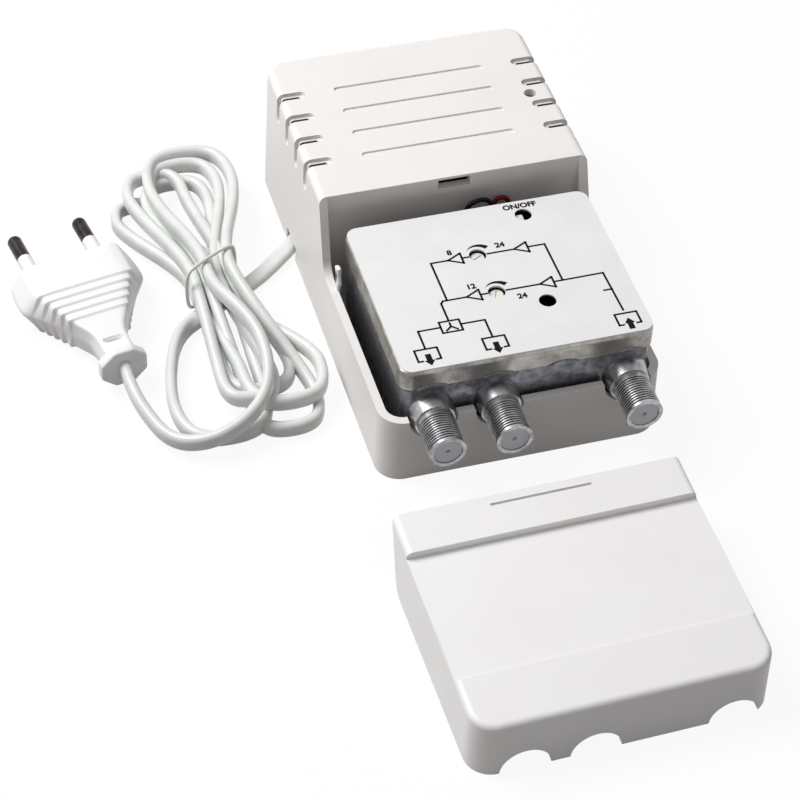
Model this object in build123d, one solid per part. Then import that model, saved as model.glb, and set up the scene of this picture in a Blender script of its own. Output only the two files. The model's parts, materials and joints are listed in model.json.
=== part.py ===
from build123d import *
import math
import os

os.makedirs("parts", exist_ok=True)

# A mains powered aerial signal amplifier. X runs across it, Y from the sockets to the hump, Z up.
# The origin is the middle of the underside of the housing. All lengths are in millimetres.

# Housing: a hump at the back over the power supply, an open tray in front for the amplifier module
housing_width = 75.0
housing_length = 125.0
housing_height = 40.0
rim_height = 19.5
side_lean_share = 0.02
end_lean_share = 0.03
back_corner_radius = 5.0
front_corner_radius = 6.5
top_edge_radius = 2.0
wall = 2.2
hump_length = 60.1
wing_reach = 6.9
kink_radius = 5.0
fit = 0.2
overrun = 3.0

# Vents: grooves over both top edges of the hump, each with a slit along its front side
vent_count = 4
vent_pitch = 9.45
vent_first = 14.1
vent_width = 2.8
vent_depth = 1.0
vent_reach_in = 7.4
vent_drop = 8.4
slit_width = 1.4
slit_inset = 1.2
slit_drop = 5.5

# Decorative grooves in the top of the hump, in line with the vents
top_groove_length = 42.4
top_groove_width = 2.0
top_groove_depth = 0.5

# Power lamp window and the slot for the cover's tongue
lamp_inset = 7.3
lamp_setback = 28.3
lamp_hole_radius = 1.7
latch_slot_width = 8.8
latch_slot_height = 2.8
latch_slot_skin = 0.8

# Cover
cover_wall = 1.8
cover_edge_radius = 1.6
cover_front_drop = 3.7
seat_gap = 0.3
strip_reach = 4.8
panel_length = 37.0
panel_drop_back = 2.0
panel_drop_front = 0.4
flex_slit_length = 26.0
flex_slit_width = 0.7
flex_slit_setback = 2.7
tongue_width = 8.0
tongue_thickness = 1.3
tongue_reach = 1.6
cover_lie_x = -6.5
cover_lie_y = -97.2
cover_lie_turn = 1.0

# Rear plate, its screws and the keyholes for hanging it on a wall
plate_thickness = 2.2
screw_shank_radius = 1.45
screw_head_radius = 2.8
screw_head_height = 1.7
screw_length = 12.0
screw_clearance = 0.05
head_clearance = 0.2
cup_height = 2.0
cup_wall = 1.2
boss_radius = 3.5
boss_side_inset = 8.0
boss_end_inset = 6.9
boss_front_setback = 4.9
keyhole_spacing = 80.0
keyhole_head_radius = 4.2
keyhole_slot_radius = 2.1
keyhole_travel = 7.0

# Amplifier module: a die-cast tub with a folded tinplate lid and a printed label
module_side_gap = 4.3
module_front_gap = 3.1
module_back_gap = 6.8
module_offset = 1.0
module_top = 34.0
module_bottom = 6.5
module_corner_radius = 3.2
label_thickness = 0.2
label_margin = 1.0
lid_sheet = 0.5
lid_edge_radius = 1.0
lid_skirt = 5.6
tub_wall = 2.0
tub_fit = 0.1
tub_top_gap = 0.6
module_post_radius = 3.0
module_post_inset = 8.0

# Coaxial sockets on the tub's front, at shares of its width: 3/8 inch thread, 32 turns to the inch
socket_shares = (-0.378, -0.119, 0.3931)
socket_axis_height = 19.5
socket_reach = 14.5
thread_radius = 4.7625
thread_pitch = 0.794
thread_depth = 0.42
thread_crest = 0.25
thread_turns = 11
thread_tip_land = 0.7
snout_root_radius = 6.0
snout_neck_radius = 5.2
snout_root_length = 4.2
snout_passage_radius = 6.3
snout_bore_radius = 3.75
insulator_clearance = 0.05
insulator_setback = 0.3
insulator_length = 11.0
insulator_lip = 1.5
contact_entry_radius = 0.6
contact_radius = 1.1
contact_bore_radius = 0.5
contact_bore_depth = 8.0
contact_reach_in = 2.0
contact_leg_radius = 0.45

# Circuit board of the module and what stands on it, at shares of the module's width and length
board_thickness = 1.6
rf_board_height = 21.0
board_margin = 0.3
board_pillar_radius = 2.4
board_pillar_inset = 5.5
board_screw_length = 6.0
board_screw_shank_radius = 0.95
board_screw_head_radius = 1.9
board_screw_head_height = 1.2
hole_radius = 2.25
vhf_share = (-0.0316, 0.1764)
uhf_share = (-0.0241, -0.0855)
switch_share = (0.2139, 0.3964)
preamp_lamp_share = (0.1491, -0.1982)
trimmer_side = 7.0
trimmer_height = 7.2
trimmer_well_radius = 2.8
trimmer_well_depth = 2.6
trimmer_floor = 1.2
rotor_radius = 2.6
rotor_height = 3.4
rotor_stem_radius = 0.8
rotor_slot_width = 0.7
rotor_slot_depth = 0.8
rotor_play = 0.05
rotor_float = 0.1
switch_length = 8.6
switch_width = 4.4
switch_height = 6.2
switch_skin = 0.8
switch_travel = 2.0
slider_foot_length = 4.2
slider_foot_height = 1.6
slider_knob_length = 1.8
slider_knob_width = 2.0
slider_play = 0.15
slider_top_gap = 0.9
lamp_body_radius = 1.5
lamp_flange_radius = 1.9
lamp_flange_height = 1.0
lamp_body_height = 5.2
lamp_lead_radius = 0.25
lamp_lead_spacing = 2.54
preamp_lamp_standoff = 3.2
chip_size = (5.0, 4.0, 1.6)
chip_shares = ((-0.196, 0.288), (-0.196, -0.005), (0.136, 0.005))
coil_outer_radius = 1.9
coil_inner_radius = 1.3
coil_length = 4.5
coil_shares = ((0.241, 0.178), (0.241, 0.005), (0.316, -0.078), (-0.316, 0.142))
ferrite_outer_radius = 3.4
ferrite_inner_radius = 1.4
ferrite_length = 5.0
ferrite_share = (-0.248, -0.26)
can_radius = 2.0
can_height = 5.4
can_shares = ((-0.377, 0.215), (-0.377, -0.114), (0.346, 0.215))
shield_thickness = 0.5
shield_setback = 23.0
shield_height = 8.0
shield_reach_share = 0.36

# Power supply in the hump: its board lies between the bosses, its parts at places from the board's edges
power_board_left_gap = 3.0
power_board_right_gap = 1.0
power_board_front_gap = 4.6
power_board_back_gap = 4.1
power_board_lift = 4.0
power_post_radius = 2.6
power_post_inset = 3.4
core_width_share = 0.8
core_length = 32.0
core_stack_share = 0.567
core_leg_share = 1 / 3
core_yoke_share = 1 / 6
core_window_share = 0.6
core_side_gap = 0.3
core_end_gap = 2.5
bobbin_wall = 0.8
bobbin_play = 0.2
bobbin_flange = 1.2
winding_margin = 0.4
winding_headroom = 5.4
winding_corner = 2.5
transformer_lift = 0.6
reservoir_radius = 5.0
reservoir_height = 16.0
reservoir_place = (10.4, 5.8)
reservoir_groove = 0.5
rectifier_radius = 4.2
rectifier_height = 6.0
rectifier_place = (20.4, 5.2)
regulator_width = 10.0
regulator_thickness = 4.4
regulator_height = 15.0
regulator_place = (37.2, 3.4)
regulator_lead_lift = 3.0
regulator_lead_radius = 0.4
heat_sink_width = 9.0
heat_sink_height = 20.0
heat_sink_sheet = 1.6
heat_sink_depth = 5.0
fuse_radius = 2.6
fuse_length = 20.0
fuse_cap_length = 5.0
fuse_glass_inset = 0.15
fuse_inset = 3.5
fuse_setback = 29.8
fuse_lift = 4.6
clip_width = 3.0
clip_sheet = 0.6
lamp_spacer_radius = 2.6
lamp_spacer_bore = 1.7
lamp_recess = 1.2

# Low voltage wires from the supply board through the hump's front wall to the module
wire_radius = 0.65
wire_window_width = 18.0
wire_window_height = 9.0
wire_window_low = 12.0
wire_window_x = 8.0
black_wire_route = [(3.6, 14.0, 7.8), (3.6, 14.0, 13.0), (3.0, 8.6, 17.0), (1.6, -0.4, 18.0),
                    (1.6, -1.2, 27.0), (3.2, -1.2, 33.2), (9.4, -1.2, 33.6), (12.0, -1.0, 23.0), (12.0, -6.0, 23.0)]
red_wire_route = [(7.4, 14.0, 7.8), (7.4, 14.0, 13.0), (7.6, 8.6, 16.6), (8.4, 0.6, 17.4),
                  (9.6, 0.9, 25.0), (11.2, 0.9, 31.4), (15.2, 0.9, 30.8), (16.6, 0.2, 21.5), (16.6, -6.0, 21.5)]

# Mains cord: a flat twin cord, drawn here as a round tube of the same section area
cord_radius = 1.9
cord_exit_y = 28.0
cord_exit_turn = 45.0
cord_notch_width = 6.4
cord_notch_height = 4.4
clamp_length = 10.0
clamp_width = 5.2
clamp_height = 11.0
clamp_setback = 6.3
clamp_foot_length = 4.0
clamp_foot_width = 13.8
clamp_foot_thickness = 2.0
clamp_screw_spacing = 9.6
clamp_screw_length = 4.0
mains_wire_radius = 0.9
mains_wire_spread = 1.4

# Route of the cord from the clamp to the hank, and from the hank to the plug, chosen by hand
lead_route = [(-33.1, 32.4, 1.9), (-43.9, 21.6, 1.9), (-55.2, 13.6, 1.9), (-66.4, 7.0, 1.9),
              (-76.4, -0.6, 1.9), (-82.0, -9.6, 1.9), (-82.0, -19.0, 1.9)]
tail_route = [(-74.4, 9.0, 12.2), (-74.4, 4.6, 12.2), (-74.2, -3.0, 15.0), (-71.0, -12.5, 14.4),
              (-66.6, -22.5, 12.2),
              (-66.4, -33.0, 11.9), (-72.2, -41.0, 9.2), (-80.4, -41.4, 4.6), (-86.6, -34.0, 2.0),
              (-90.6, -22.5, 6.85), (-92.3, -13.0, 6.85)]

# Hank: loops drawn in at the waist, spiralling in on the lower layer and out again on the upper one
hank_x = -62.0
hank_y = 9.0
hank_start = 0.25
hank_turning = 5.25
hank_climb = 5.0
hank_end = 10.0
hank_step = 4.8
hank_waist_core = 1.0
hank_bottom_core = 8.0
hank_bottom_widest = 28.0
hank_bottom_end = 47.1
hank_top_core = 6.0
hank_top_widest = 41.0
hank_top_end = 63.1
hank_layer_step = 4.7
hank_waist_lift = 5.6
tie_radius = 0.45
tie_gap = 0.35

# Plug: the flat two-pin plug, on its side ridges 35.3 wide and 13.7 thick
plug_angle = 10.1
plug_width = 35.3
plug_face_width = 26.1
plug_thickness = 13.7
plug_straight = 10.0
plug_taper = 20.0
plug_neck_length = 6.6
plug_neck_width = 9.6
plug_neck_thickness = 8.4
plug_collar_length = 3.2
plug_collar_width = 12.6
plug_collar_height = 11.4
plug_collar_cut_share = 0.28
plug_edge_radius = 1.0
grip_count = 5
grip_pitch = 2.3
grip_depth = 0.45
pin_radius = 2.0
pin_length = 19.0
pin_spacing = 18.6
pin_tip_length = 9.0
pin_root = 6.0
pin_tip_round = 1.5
sleeve_wall = 0.35

# Places worked out from the sizes above
front_y = -housing_length / 2
back_y = housing_length / 2
hump_front = back_y - hump_length
wing_foot = hump_front - wing_reach
lamp_x = housing_width / 2 - lamp_inset
lamp_y = hump_front + lamp_setback
module_width = housing_width - 2 * module_side_gap
module_back = hump_front - module_back_gap
module_front = front_y + module_front_gap
module_length = module_back - module_front
module_left = module_offset - module_width / 2
module_right = module_offset + module_width / 2
lid_top = module_top - label_thickness
lid_under = lid_top - lid_sheet
tub_inset = lid_sheet + tub_fit
tub_front = module_front + tub_inset
tub_floor_top = module_bottom + tub_wall
rf_board_top = rf_board_height + board_thickness
power_board_under = plate_thickness + power_board_lift
power_board_top = power_board_under + board_thickness
power_board_front = hump_front + wall + power_board_front_gap
power_board_back = back_y - wall - power_board_back_gap
boss_inner_x = housing_width / 2 - boss_side_inset - boss_radius
power_board_left = power_board_left_gap - boss_inner_x
power_board_right = boss_inner_x - power_board_right_gap
power_board_width = power_board_right - power_board_left
cup_top = plate_thickness + cup_height
cord_size = 2 * cord_radius
socket_offsets = [module_offset + share * module_width for share in socket_shares]


def on_module(share):
    """Place on the module at shares of its width and length from its middle."""
    return module_offset + share[0] * module_width, (module_front + module_back) / 2 + share[1] * module_length


def on_power_board(place):
    """Place on the supply board, measured from its left front corner."""
    return power_board_left + place[0], power_board_front + place[1]


vhf_place = on_module(vhf_share)
uhf_place = on_module(uhf_share)
switch_place = on_module(switch_share)
preamp_lamp_place = on_module(preamp_lamp_share)


def box_between(x_low, x_high, y_low, y_high, z_low, z_high):
    """Box from its lowest to its highest corner."""
    middle = ((x_low + x_high) / 2, (y_low + y_high) / 2, (z_low + z_high) / 2)
    return Pos(*middle) * Box(x_high - x_low, y_high - y_low, z_high - z_low)


def block_on(x, y, low, width, length, height):
    """Box with the middle of its underside at a place."""
    return Pos(x, y, low + height / 2) * Box(width, length, height)


def post(x, y, radius, low, high):
    """Upright cylinder."""
    return Pos(x, y, (low + high) / 2) * Cylinder(radius, high - low)


def rod_along_y(x, z, radius, y_low, y_high):
    """Cylinder that lies along Y."""
    return Pos(x, (y_low + y_high) / 2, z) * Rot(90, 0, 0) * Cylinder(radius, y_high - y_low)


def side_prism(points, half_width):
    """Solid of a side view, given as (y, z) points, across a width centred on X."""
    return extrude(Plane.YZ * Polygon(*points, align=None), amount=half_width, both=True)


def housing_outline(height, inset):
    """Plan of the leaning housing at a height, drawn in by an inset."""
    width = housing_width - 2 * (side_lean_share * height + inset)
    length = housing_length - 2 * (end_lean_share * height + inset)
    plan = Rectangle(width, length)
    plan = fillet(plan.vertices().sort_by(Axis.Y)[:2], front_corner_radius - inset)
    plan = fillet(plan.vertices().sort_by(Axis.Y)[-2:], back_corner_radius - inset)
    return Pos(0, 0, height) * plan


def leaned_block(low, high, inset, edge_radius=0):
    """Solid between two heights inside the housing's leaning walls, with its top edge rounded."""
    block = loft([housing_outline(low, inset), housing_outline(high, inset)], ruled=True)
    if edge_radius > 0:
        block = fillet(block.faces().sort_by(Axis.Z)[-1].edges(), edge_radius)
    return block


def tray_region(gap):
    """Side view of the space above the tray's rim and in front of the hump, less a gap."""
    high = housing_height + overrun
    low = rim_height + gap
    far = front_y - overrun
    points = [(hump_front - gap, high), (hump_front - gap, housing_height), (wing_foot - gap, low),
              (far, low), (far, high)]
    view = Polygon(*points, align=None)
    foot = view.vertices().sort_by_distance((wing_foot - gap, low, 0))[0]
    view = fillet(foot, kink_radius)
    return extrude(Plane.YZ * view, amount=housing_width, both=True)


def snout_passages():
    """Round ways for the three sockets through a front wall."""
    inside = front_y + 2 * wall + overrun
    return [rod_along_y(x, socket_axis_height, snout_passage_radius, front_y - overrun, inside)
            for x in socket_offsets]


def vent_rows():
    """Places of the vents along Y, counted from the hump's front."""
    return [hump_front + vent_first + vent_pitch * row for row in range(vent_count)]


def vent_grooves():
    """Grooves that follow the skin of the hump over its two top edges."""
    core = leaned_block(0, housing_height - vent_depth, vent_depth, top_edge_radius - vent_depth)
    inner = housing_width / 2 - vent_reach_in - side_lean_share * housing_height
    reach = housing_width / 2 - inner + overrun
    low = housing_height - vent_drop
    rise = vent_drop + overrun
    grooves = []
    for side in (-1, 1):
        for row in vent_rows():
            plan = Pos(side * (inner + reach / 2), row, low) * SlotOverall(reach, vent_width)
            over_top = extrude(plan, amount=rise)
            view = Plane.YZ * (Pos(row, low + rise / 2) * SlotOverall(rise, vent_width, rotation=90))
            down_side = extrude(view, amount=housing_width, both=True)
            grooves.append((over_top & down_side) - core)
    return grooves


def vent_slits():
    """Narrow slits through the skin along the front side of each groove."""
    inner = housing_width / 2 - vent_reach_in - side_lean_share * housing_height + slit_inset
    outer = housing_width / 2 + overrun
    low = housing_height - slit_drop
    high = housing_height + overrun
    slits = []
    for row in vent_rows():
        start = row - vent_width / 2
        slits.append(box_between(inner, outer, start, start + slit_width, low, high))
        slits.append(box_between(-outer, -inner, start, start + slit_width, low, high))
    return slits


def top_grooves():
    """Shallow straight grooves across the hump's top."""
    low = housing_height - top_groove_depth
    return [extrude(Pos(0, row, low) * SlotOverall(top_groove_length, top_groove_width),
                    amount=top_groove_depth + overrun) for row in vent_rows()]


def boss_places():
    """Places of the four screw bosses, inside the hump's corners."""
    side = housing_width / 2 - boss_side_inset
    back = back_y - boss_end_inset
    front = hump_front + wall + boss_front_setback
    return [(-side, back), (side, back), (-side, front), (side, front)]


def cord_frame():
    """Frame at the cord's exit in the left wall, with its X axis pointing inwards along the cord."""
    return Pos(-housing_width / 2, cord_exit_y, 0) * Rot(0, 0, cord_exit_turn)


def make_upper_housing():
    """Moulded housing: hump, tray walls, screw bosses, vents and the ways through its walls."""
    shell = leaned_block(0, housing_height, 0, top_edge_radius)
    side = housing_width
    in_tray = box_between(-side, side, front_y - overrun, hump_front, -overrun, housing_height + overrun)
    in_hump = box_between(-side, side, hump_front + wall, back_y, -overrun, housing_height)
    shell -= leaned_block(-overrun, housing_height + overrun, wall) & in_tray
    shell -= leaned_block(-overrun, housing_height - wall, wall) & in_hump
    shell -= leaned_block(-overrun, plate_thickness + fit, wall)
    shell -= tray_region(0)
    shell -= vent_grooves()
    shell -= vent_slits()
    shell -= top_grooves()
    shell -= snout_passages()
    shell -= post(lamp_x, lamp_y, lamp_hole_radius, housing_height / 2, housing_height + overrun)
    slot_top = housing_height - latch_slot_skin
    shell -= box_between(-latch_slot_width / 2, latch_slot_width / 2, hump_front - overrun,
                         hump_front + wall, slot_top - latch_slot_height, slot_top)
    window_high = wire_window_low + wire_window_height
    shell -= box_between(wire_window_x - wire_window_width / 2, wire_window_x + wire_window_width / 2,
                         hump_front - overrun, hump_front + 2 * wall, wire_window_low, window_high)
    shell -= cord_frame() * box_between(-2 * wall, 3 * wall, -cord_notch_width / 2,
                                        cord_notch_width / 2, -overrun, cord_notch_height)
    for x, y in boss_places():
        boss = post(x, y, boss_radius, cup_top, housing_height - wall + fit)
        shell += boss - post(x, y, screw_shank_radius + screw_clearance, cup_top, cup_top + screw_length)
    return shell


def cover_top(y):
    """Height of the closed cover's sloping top at a place along Y."""
    return housing_height - cover_front_drop * (hump_front - y) / (hump_front - front_y)


def above_cover(depth, with_panel):
    """Space above the cover's sloping top, or at a depth below it, with or without the sunk panel."""
    high = housing_height + overrun
    near = front_y - overrun
    far = hump_front + overrun
    step = wing_foot - seat_gap - strip_reach
    crease = step - panel_length
    panel = [(step + depth, cover_top(step + depth) - depth),
             (step + depth, cover_top(step) - panel_drop_back - depth),
             (crease - depth, cover_top(crease) - panel_drop_front - depth),
             (crease - depth, cover_top(crease - depth) - depth)]
    middle = panel if with_panel else []
    points = [(far, high), (far, cover_top(far) - depth), *middle, (near, cover_top(near) - depth), (near, high)]
    return side_prism(points, housing_width)


def make_front_cover():
    """Cover of the tray, modelled on its seat and then laid in front of the housing."""
    rim = rim_height + seat_gap
    side = housing_width
    in_front = box_between(-side, side, front_y - overrun, hump_front - seat_gap, rim, housing_height)
    body = (leaned_block(rim, housing_height, 0) & in_front) - above_cover(0, False)
    outline = body.faces().sort_by(Axis.Z)[-1].edges().sort_by(Axis.Y)[:-1]
    body = (fillet(outline, cover_edge_radius) & tray_region(seat_gap)) - above_cover(0, True)
    void = leaned_block(rim - overrun, housing_height, cover_wall) - above_cover(cover_wall, True)
    body -= void
    body -= snout_passages()
    slit = SlotOverall(flex_slit_length, flex_slit_width)
    slit_place = Pos(0, hump_front - seat_gap - flex_slit_setback, housing_height - 2 * cover_wall)
    body -= extrude(slit_place * slit, amount=3 * cover_wall)
    tongue_top = housing_height - cover_wall
    tongue_end = hump_front - seat_gap + tongue_reach
    body += box_between(-tongue_width / 2, tongue_width / 2, tongue_end - 2 * tongue_reach - cover_wall,
                        tongue_end, tongue_top - tongue_thickness, tongue_top)
    to_origin = Pos(0, seat_gap - wing_foot, -rim)
    return Pos(cover_lie_x, cover_lie_y, 0) * Rot(0, 0, cover_lie_turn) * to_origin * body


def clamp_frame():
    """Frame of the cord clamp: its origin is where the cord ends in it."""
    return cord_frame() * Pos(clamp_setback + clamp_length / 2, 0, 0)


def clamp_foot_offset():
    """How far the middle of the clamp's foot lies behind the clamp's middle."""
    return (clamp_length - clamp_foot_length) / 2


def module_post_places():
    """Places of the posts that carry the module."""
    left = module_left + module_post_inset
    right = module_right - module_post_inset
    front = module_front + module_post_inset
    back = module_back - module_post_inset
    return [(left, front), (right, front), (left, back), (right, back)]


def power_post_places():
    """Places of the posts that carry the supply board."""
    left = power_board_left + power_post_inset
    right = power_board_right - power_post_inset
    front = power_board_front + power_post_inset
    back = power_board_back - power_post_inset
    return [(left, front), (right, front), (left, back), (right, back)]


def screw(x, y, low, length, shank, head_radius, head_height, point_up):
    """Pan head screw with its head's bearing face at a height, pointing up or down."""
    turn = 0 if point_up else 180
    head = Pos(0, 0, -head_height / 2) * Cylinder(head_radius, head_height)
    head = fillet(head.edges().sort_by(Axis.Z)[0], head_height / 3)
    body = head + Pos(0, 0, length / 2) * Cylinder(shank, length)
    cross = Box(head_radius, shank / 2, head_height) + Box(shank / 2, head_radius, head_height)
    body -= Pos(0, 0, -head_height) * cross
    return Pos(x, y, low) * Rot(turn, 0, 0) * body


def make_rear_plate():
    """Plate that closes the housing from below, with posts, screw cups and keyholes."""
    plate = loft([housing_outline(0, wall + fit), housing_outline(plate_thickness, wall + fit)], ruled=True)
    head_space = screw_head_radius + head_clearance
    shank_space = screw_shank_radius + screw_clearance
    for x, y in boss_places():
        plate += post(x, y, head_space + cup_wall, plate_thickness / 2, cup_top)
        plate -= post(x, y, head_space, -overrun, cup_height)
        plate -= post(x, y, shank_space, -overrun, cup_top + overrun)
    for x, y in module_post_places():
        plate += post(x, y, module_post_radius + cup_wall, plate_thickness / 2, module_bottom)
        plate -= post(x, y, head_space, -overrun, cup_height)
        plate -= post(x, y, shank_space, -overrun, module_bottom + overrun)
    for x, y in power_post_places():
        plate += post(x, y, power_post_radius, plate_thickness / 2, power_board_under)
        plate -= post(x, y, board_screw_shank_radius + screw_clearance, plate_thickness / 2,
                      power_board_under + overrun)
    for y in (-keyhole_spacing / 2, keyhole_spacing / 2):
        plate -= post(0, y, keyhole_head_radius, -overrun, plate_thickness + overrun)
        slot = SlotCenterToCenter(keyhole_travel, 2 * keyhole_slot_radius, rotation=90)
        plate -= extrude(Pos(0, y + keyhole_travel / 2, -overrun) * slot, amount=2 * overrun + plate_thickness)
    pocket = box_between(-3 * wall, clamp_setback + clamp_length + fit, -clamp_width / 2 - fit,
                         clamp_width / 2 + fit, -overrun, plate_thickness + overrun)
    plate -= cord_frame() * pocket
    for side in (-1, 1):
        hole = post(clamp_foot_offset(), side * clamp_screw_spacing / 2, board_screw_shank_radius + screw_clearance,
                    -overrun, plate_thickness + overrun)
        plate -= clamp_frame() * hole
    return plate


def make_rear_plate_screws():
    """Four screws from below through the plate's cups into the bosses."""
    return [screw(x, y, cup_height, screw_length, screw_shank_radius, screw_head_radius,
                  screw_head_height, True) for x, y in boss_places()]


def make_module_screws():
    """Four screws from below through the plate's posts into the tub."""
    length = module_bottom - cup_height + tub_wall * 2
    return [screw(x, y, cup_height, length, screw_shank_radius, screw_head_radius,
                  screw_head_height, True) for x, y in module_post_places()]


def make_power_board_screws():
    """Four screws from above that hold the supply board on its posts."""
    return [screw(x, y, power_board_top, board_screw_length - fit, board_screw_shank_radius,
                  board_screw_head_radius, board_screw_head_height, False) for x, y in power_post_places()]


def module_plan(inset, height):
    """Plan of the module with rounded corners, drawn in by an inset."""
    plan = RectangleRounded(module_width - 2 * inset, module_length - 2 * inset,
                            module_corner_radius - inset)
    return Pos(module_offset, (module_front + module_back) / 2, height) * plan


def board_pillar_places():
    """Places of the four pillars in the tub that carry its circuit board."""
    inset = tub_inset + tub_wall + board_pillar_inset
    left = module_left + inset
    right = module_right - inset
    front = module_front + inset
    back = module_back - inset
    return [(left, front), (right, front), (left, back), (right, back)]


def snout(x):
    """Socket snout: a cone from the tub's front wall, then a threaded barrel with ring grooves."""
    root_end = tub_front - snout_root_length
    tip = module_front - socket_reach
    cone = Cone(snout_root_radius, snout_neck_radius, snout_root_length)
    cone = Pos(x, tub_front - snout_root_length / 2, socket_axis_height) * Rot(90, 0, 0) * cone
    body = cone + rod_along_y(x, socket_axis_height, thread_radius, tip, tub_front)
    profile = []
    half_groove = (thread_pitch - thread_crest) / 2
    floor = thread_radius - thread_depth
    for turn in range(thread_turns):
        middle = tip + thread_tip_land + thread_pitch * (turn + 1 / 2)
        if middle + half_groove < root_end:
            profile.append([(thread_radius + thread_depth, middle - 2 * half_groove), (floor, middle),
                            (thread_radius + thread_depth, middle + 2 * half_groove)])
    for triangle in profile:
        ring = revolve(Plane.XY * Polygon(*triangle, align=None), Axis.Y)
        body -= Pos(x, 0, socket_axis_height) * ring
    return body


def make_rf_tub():
    """Die-cast tub of the module with its board pillars and screw bosses."""
    top = lid_under - tub_top_gap
    tub = extrude(module_plan(tub_inset, module_bottom), amount=top - module_bottom)
    tub -= extrude(module_plan(tub_inset + tub_wall, tub_floor_top), amount=top - tub_floor_top + overrun)
    for x, y in board_pillar_places():
        pillar = post(x, y, board_pillar_radius, tub_floor_top - tub_wall / 2, rf_board_height)
        tub += pillar
        tub -= post(x, y, board_screw_shank_radius + screw_clearance,
                    rf_board_height - board_screw_length, rf_board_height + overrun)
    for x, y in module_post_places():
        tub += post(x, y, module_post_radius, tub_floor_top - tub_wall / 2, tub_floor_top + tub_wall)
        tub -= post(x, y, screw_shank_radius + screw_clearance, module_bottom - overrun,
                    tub_floor_top + tub_wall + overrun)
    for x in socket_offsets:
        tub -= rod_along_y(x, socket_axis_height, snout_bore_radius, tub_front - overrun, tub_front + tub_wall)
    wire_x = black_wire_route[-1][0]
    tub -= rod_along_y(wire_x, black_wire_route[-1][2], wire_radius + fit, module_back - overrun, module_back)
    wire_x = red_wire_route[-1][0]
    tub -= rod_along_y(wire_x, red_wire_route[-1][2], wire_radius + fit, module_back - overrun, module_back)
    return tub


def make_socket_snouts():
    """Three threaded snouts on the tub's front, bored for their insulators."""
    tip = module_front - socket_reach
    return [snout(x) - rod_along_y(x, socket_axis_height, snout_bore_radius, tip - overrun, tub_front + overrun)
            for x in socket_offsets]


def label_holes(low, high, radius):
    """Four round holes over the trimmers, the switch and the lamp."""
    places = (vhf_place, uhf_place, switch_place, preamp_lamp_place)
    return [post(x, y, radius, low, high) for x, y in places]


def make_rf_lid():
    """Folded tinplate lid with a skirt around the tub."""
    low = lid_top - lid_skirt
    lid = extrude(module_plan(0, low), amount=lid_skirt)
    lid = fillet(lid.faces().sort_by(Axis.Z)[-1].edges(), lid_edge_radius)
    inside = extrude(module_plan(lid_sheet, low - overrun), amount=lid_skirt - lid_sheet + overrun)
    lid -= fillet(inside.faces().sort_by(Axis.Z)[-1].edges(), lid_edge_radius - lid_sheet)
    lid -= label_holes(lid_under - overrun, lid_top + overrun, hole_radius)
    return lid


def make_rf_label():
    """Printed plate on the lid."""
    label = extrude(module_plan(label_margin, lid_top), amount=label_thickness)
    return label - label_holes(lid_under, module_top + overrun, hole_radius)


def make_rf_board():
    """Circuit board of the module, with holes for its screws."""
    plan = module_plan(tub_inset + tub_wall + board_margin, rf_board_height)
    board = extrude(plan, amount=board_thickness)
    for x, y in board_pillar_places():
        board -= post(x, y, board_screw_shank_radius + screw_clearance, rf_board_height - overrun,
                      rf_board_top + overrun)
    return board


def make_rf_board_screws():
    """Four screws that hold the module's board on its pillars."""
    length = board_screw_length - fit
    return [screw(x, y, rf_board_top, length, board_screw_shank_radius, board_screw_head_radius,
                  board_screw_head_height, False) for x, y in board_pillar_places()]


def make_socket_insulators():
    """Insulators in the mouths of the sockets, each with a small entry hole."""
    tip = module_front - socket_reach + insulator_setback
    end = tip + insulator_length
    pieces = []
    for x in socket_offsets:
        body = rod_along_y(x, socket_axis_height, snout_bore_radius - insulator_clearance, tip, end)
        body -= rod_along_y(x, socket_axis_height, contact_entry_radius, tip - overrun, end)
        body -= rod_along_y(x, socket_axis_height, contact_radius + insulator_clearance,
                            tip + insulator_lip, end + overrun)
        pieces.append(body)
    return pieces


def make_socket_contacts():
    """Spring contacts behind the insulators' lips, with a leg up to the board."""
    start = module_front - socket_reach + insulator_setback + insulator_lip
    end = tub_front + tub_wall + contact_reach_in
    pieces = []
    for x in socket_offsets:
        body = rod_along_y(x, socket_axis_height, contact_radius, start, end)
        body -= rod_along_y(x, socket_axis_height, contact_bore_radius, start - overrun,
                            start + contact_bore_depth)
        body += post(x, end - contact_radius, contact_leg_radius, socket_axis_height, rf_board_height)
        pieces.append(body)
    return pieces


def make_trimmer_body(place):
    """Square trimmer body on the board with a round well for its rotor."""
    x, y = place
    body = block_on(x, y, rf_board_top, trimmer_side, trimmer_side, trimmer_height)
    top = rf_board_top + trimmer_height
    body -= post(x, y, trimmer_well_radius, top - trimmer_well_depth, top + overrun)
    body -= post(x, y, rotor_stem_radius + rotor_play, rf_board_top + trimmer_floor, top + overrun)
    return body


def make_trimmer_rotor(place, slot_turn):
    """Rotor with a screwdriver slot and a stem that turns in the body."""
    x, y = place
    low = rf_board_top + trimmer_height - trimmer_well_depth + rotor_float
    top = low + rotor_height
    body = post(x, y, rotor_radius, low, top)
    body = chamfer(body.edges().sort_by(Axis.Z)[-1], rotor_slot_depth / 3)
    body += post(x, y, rotor_stem_radius, rf_board_top + trimmer_floor + rotor_float, low + rotor_float)
    slot = Box(2 * rotor_radius - rotor_slot_width, rotor_slot_width, 2 * rotor_slot_depth)
    pointer = Pos(rotor_radius - rotor_slot_width, 0, 0) * Box(rotor_slot_width, 2 * rotor_slot_width,
                                                             2 * rotor_slot_depth)
    return body - Pos(x, y, top) * Rot(0, 0, slot_turn) * (slot + pointer)


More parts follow.
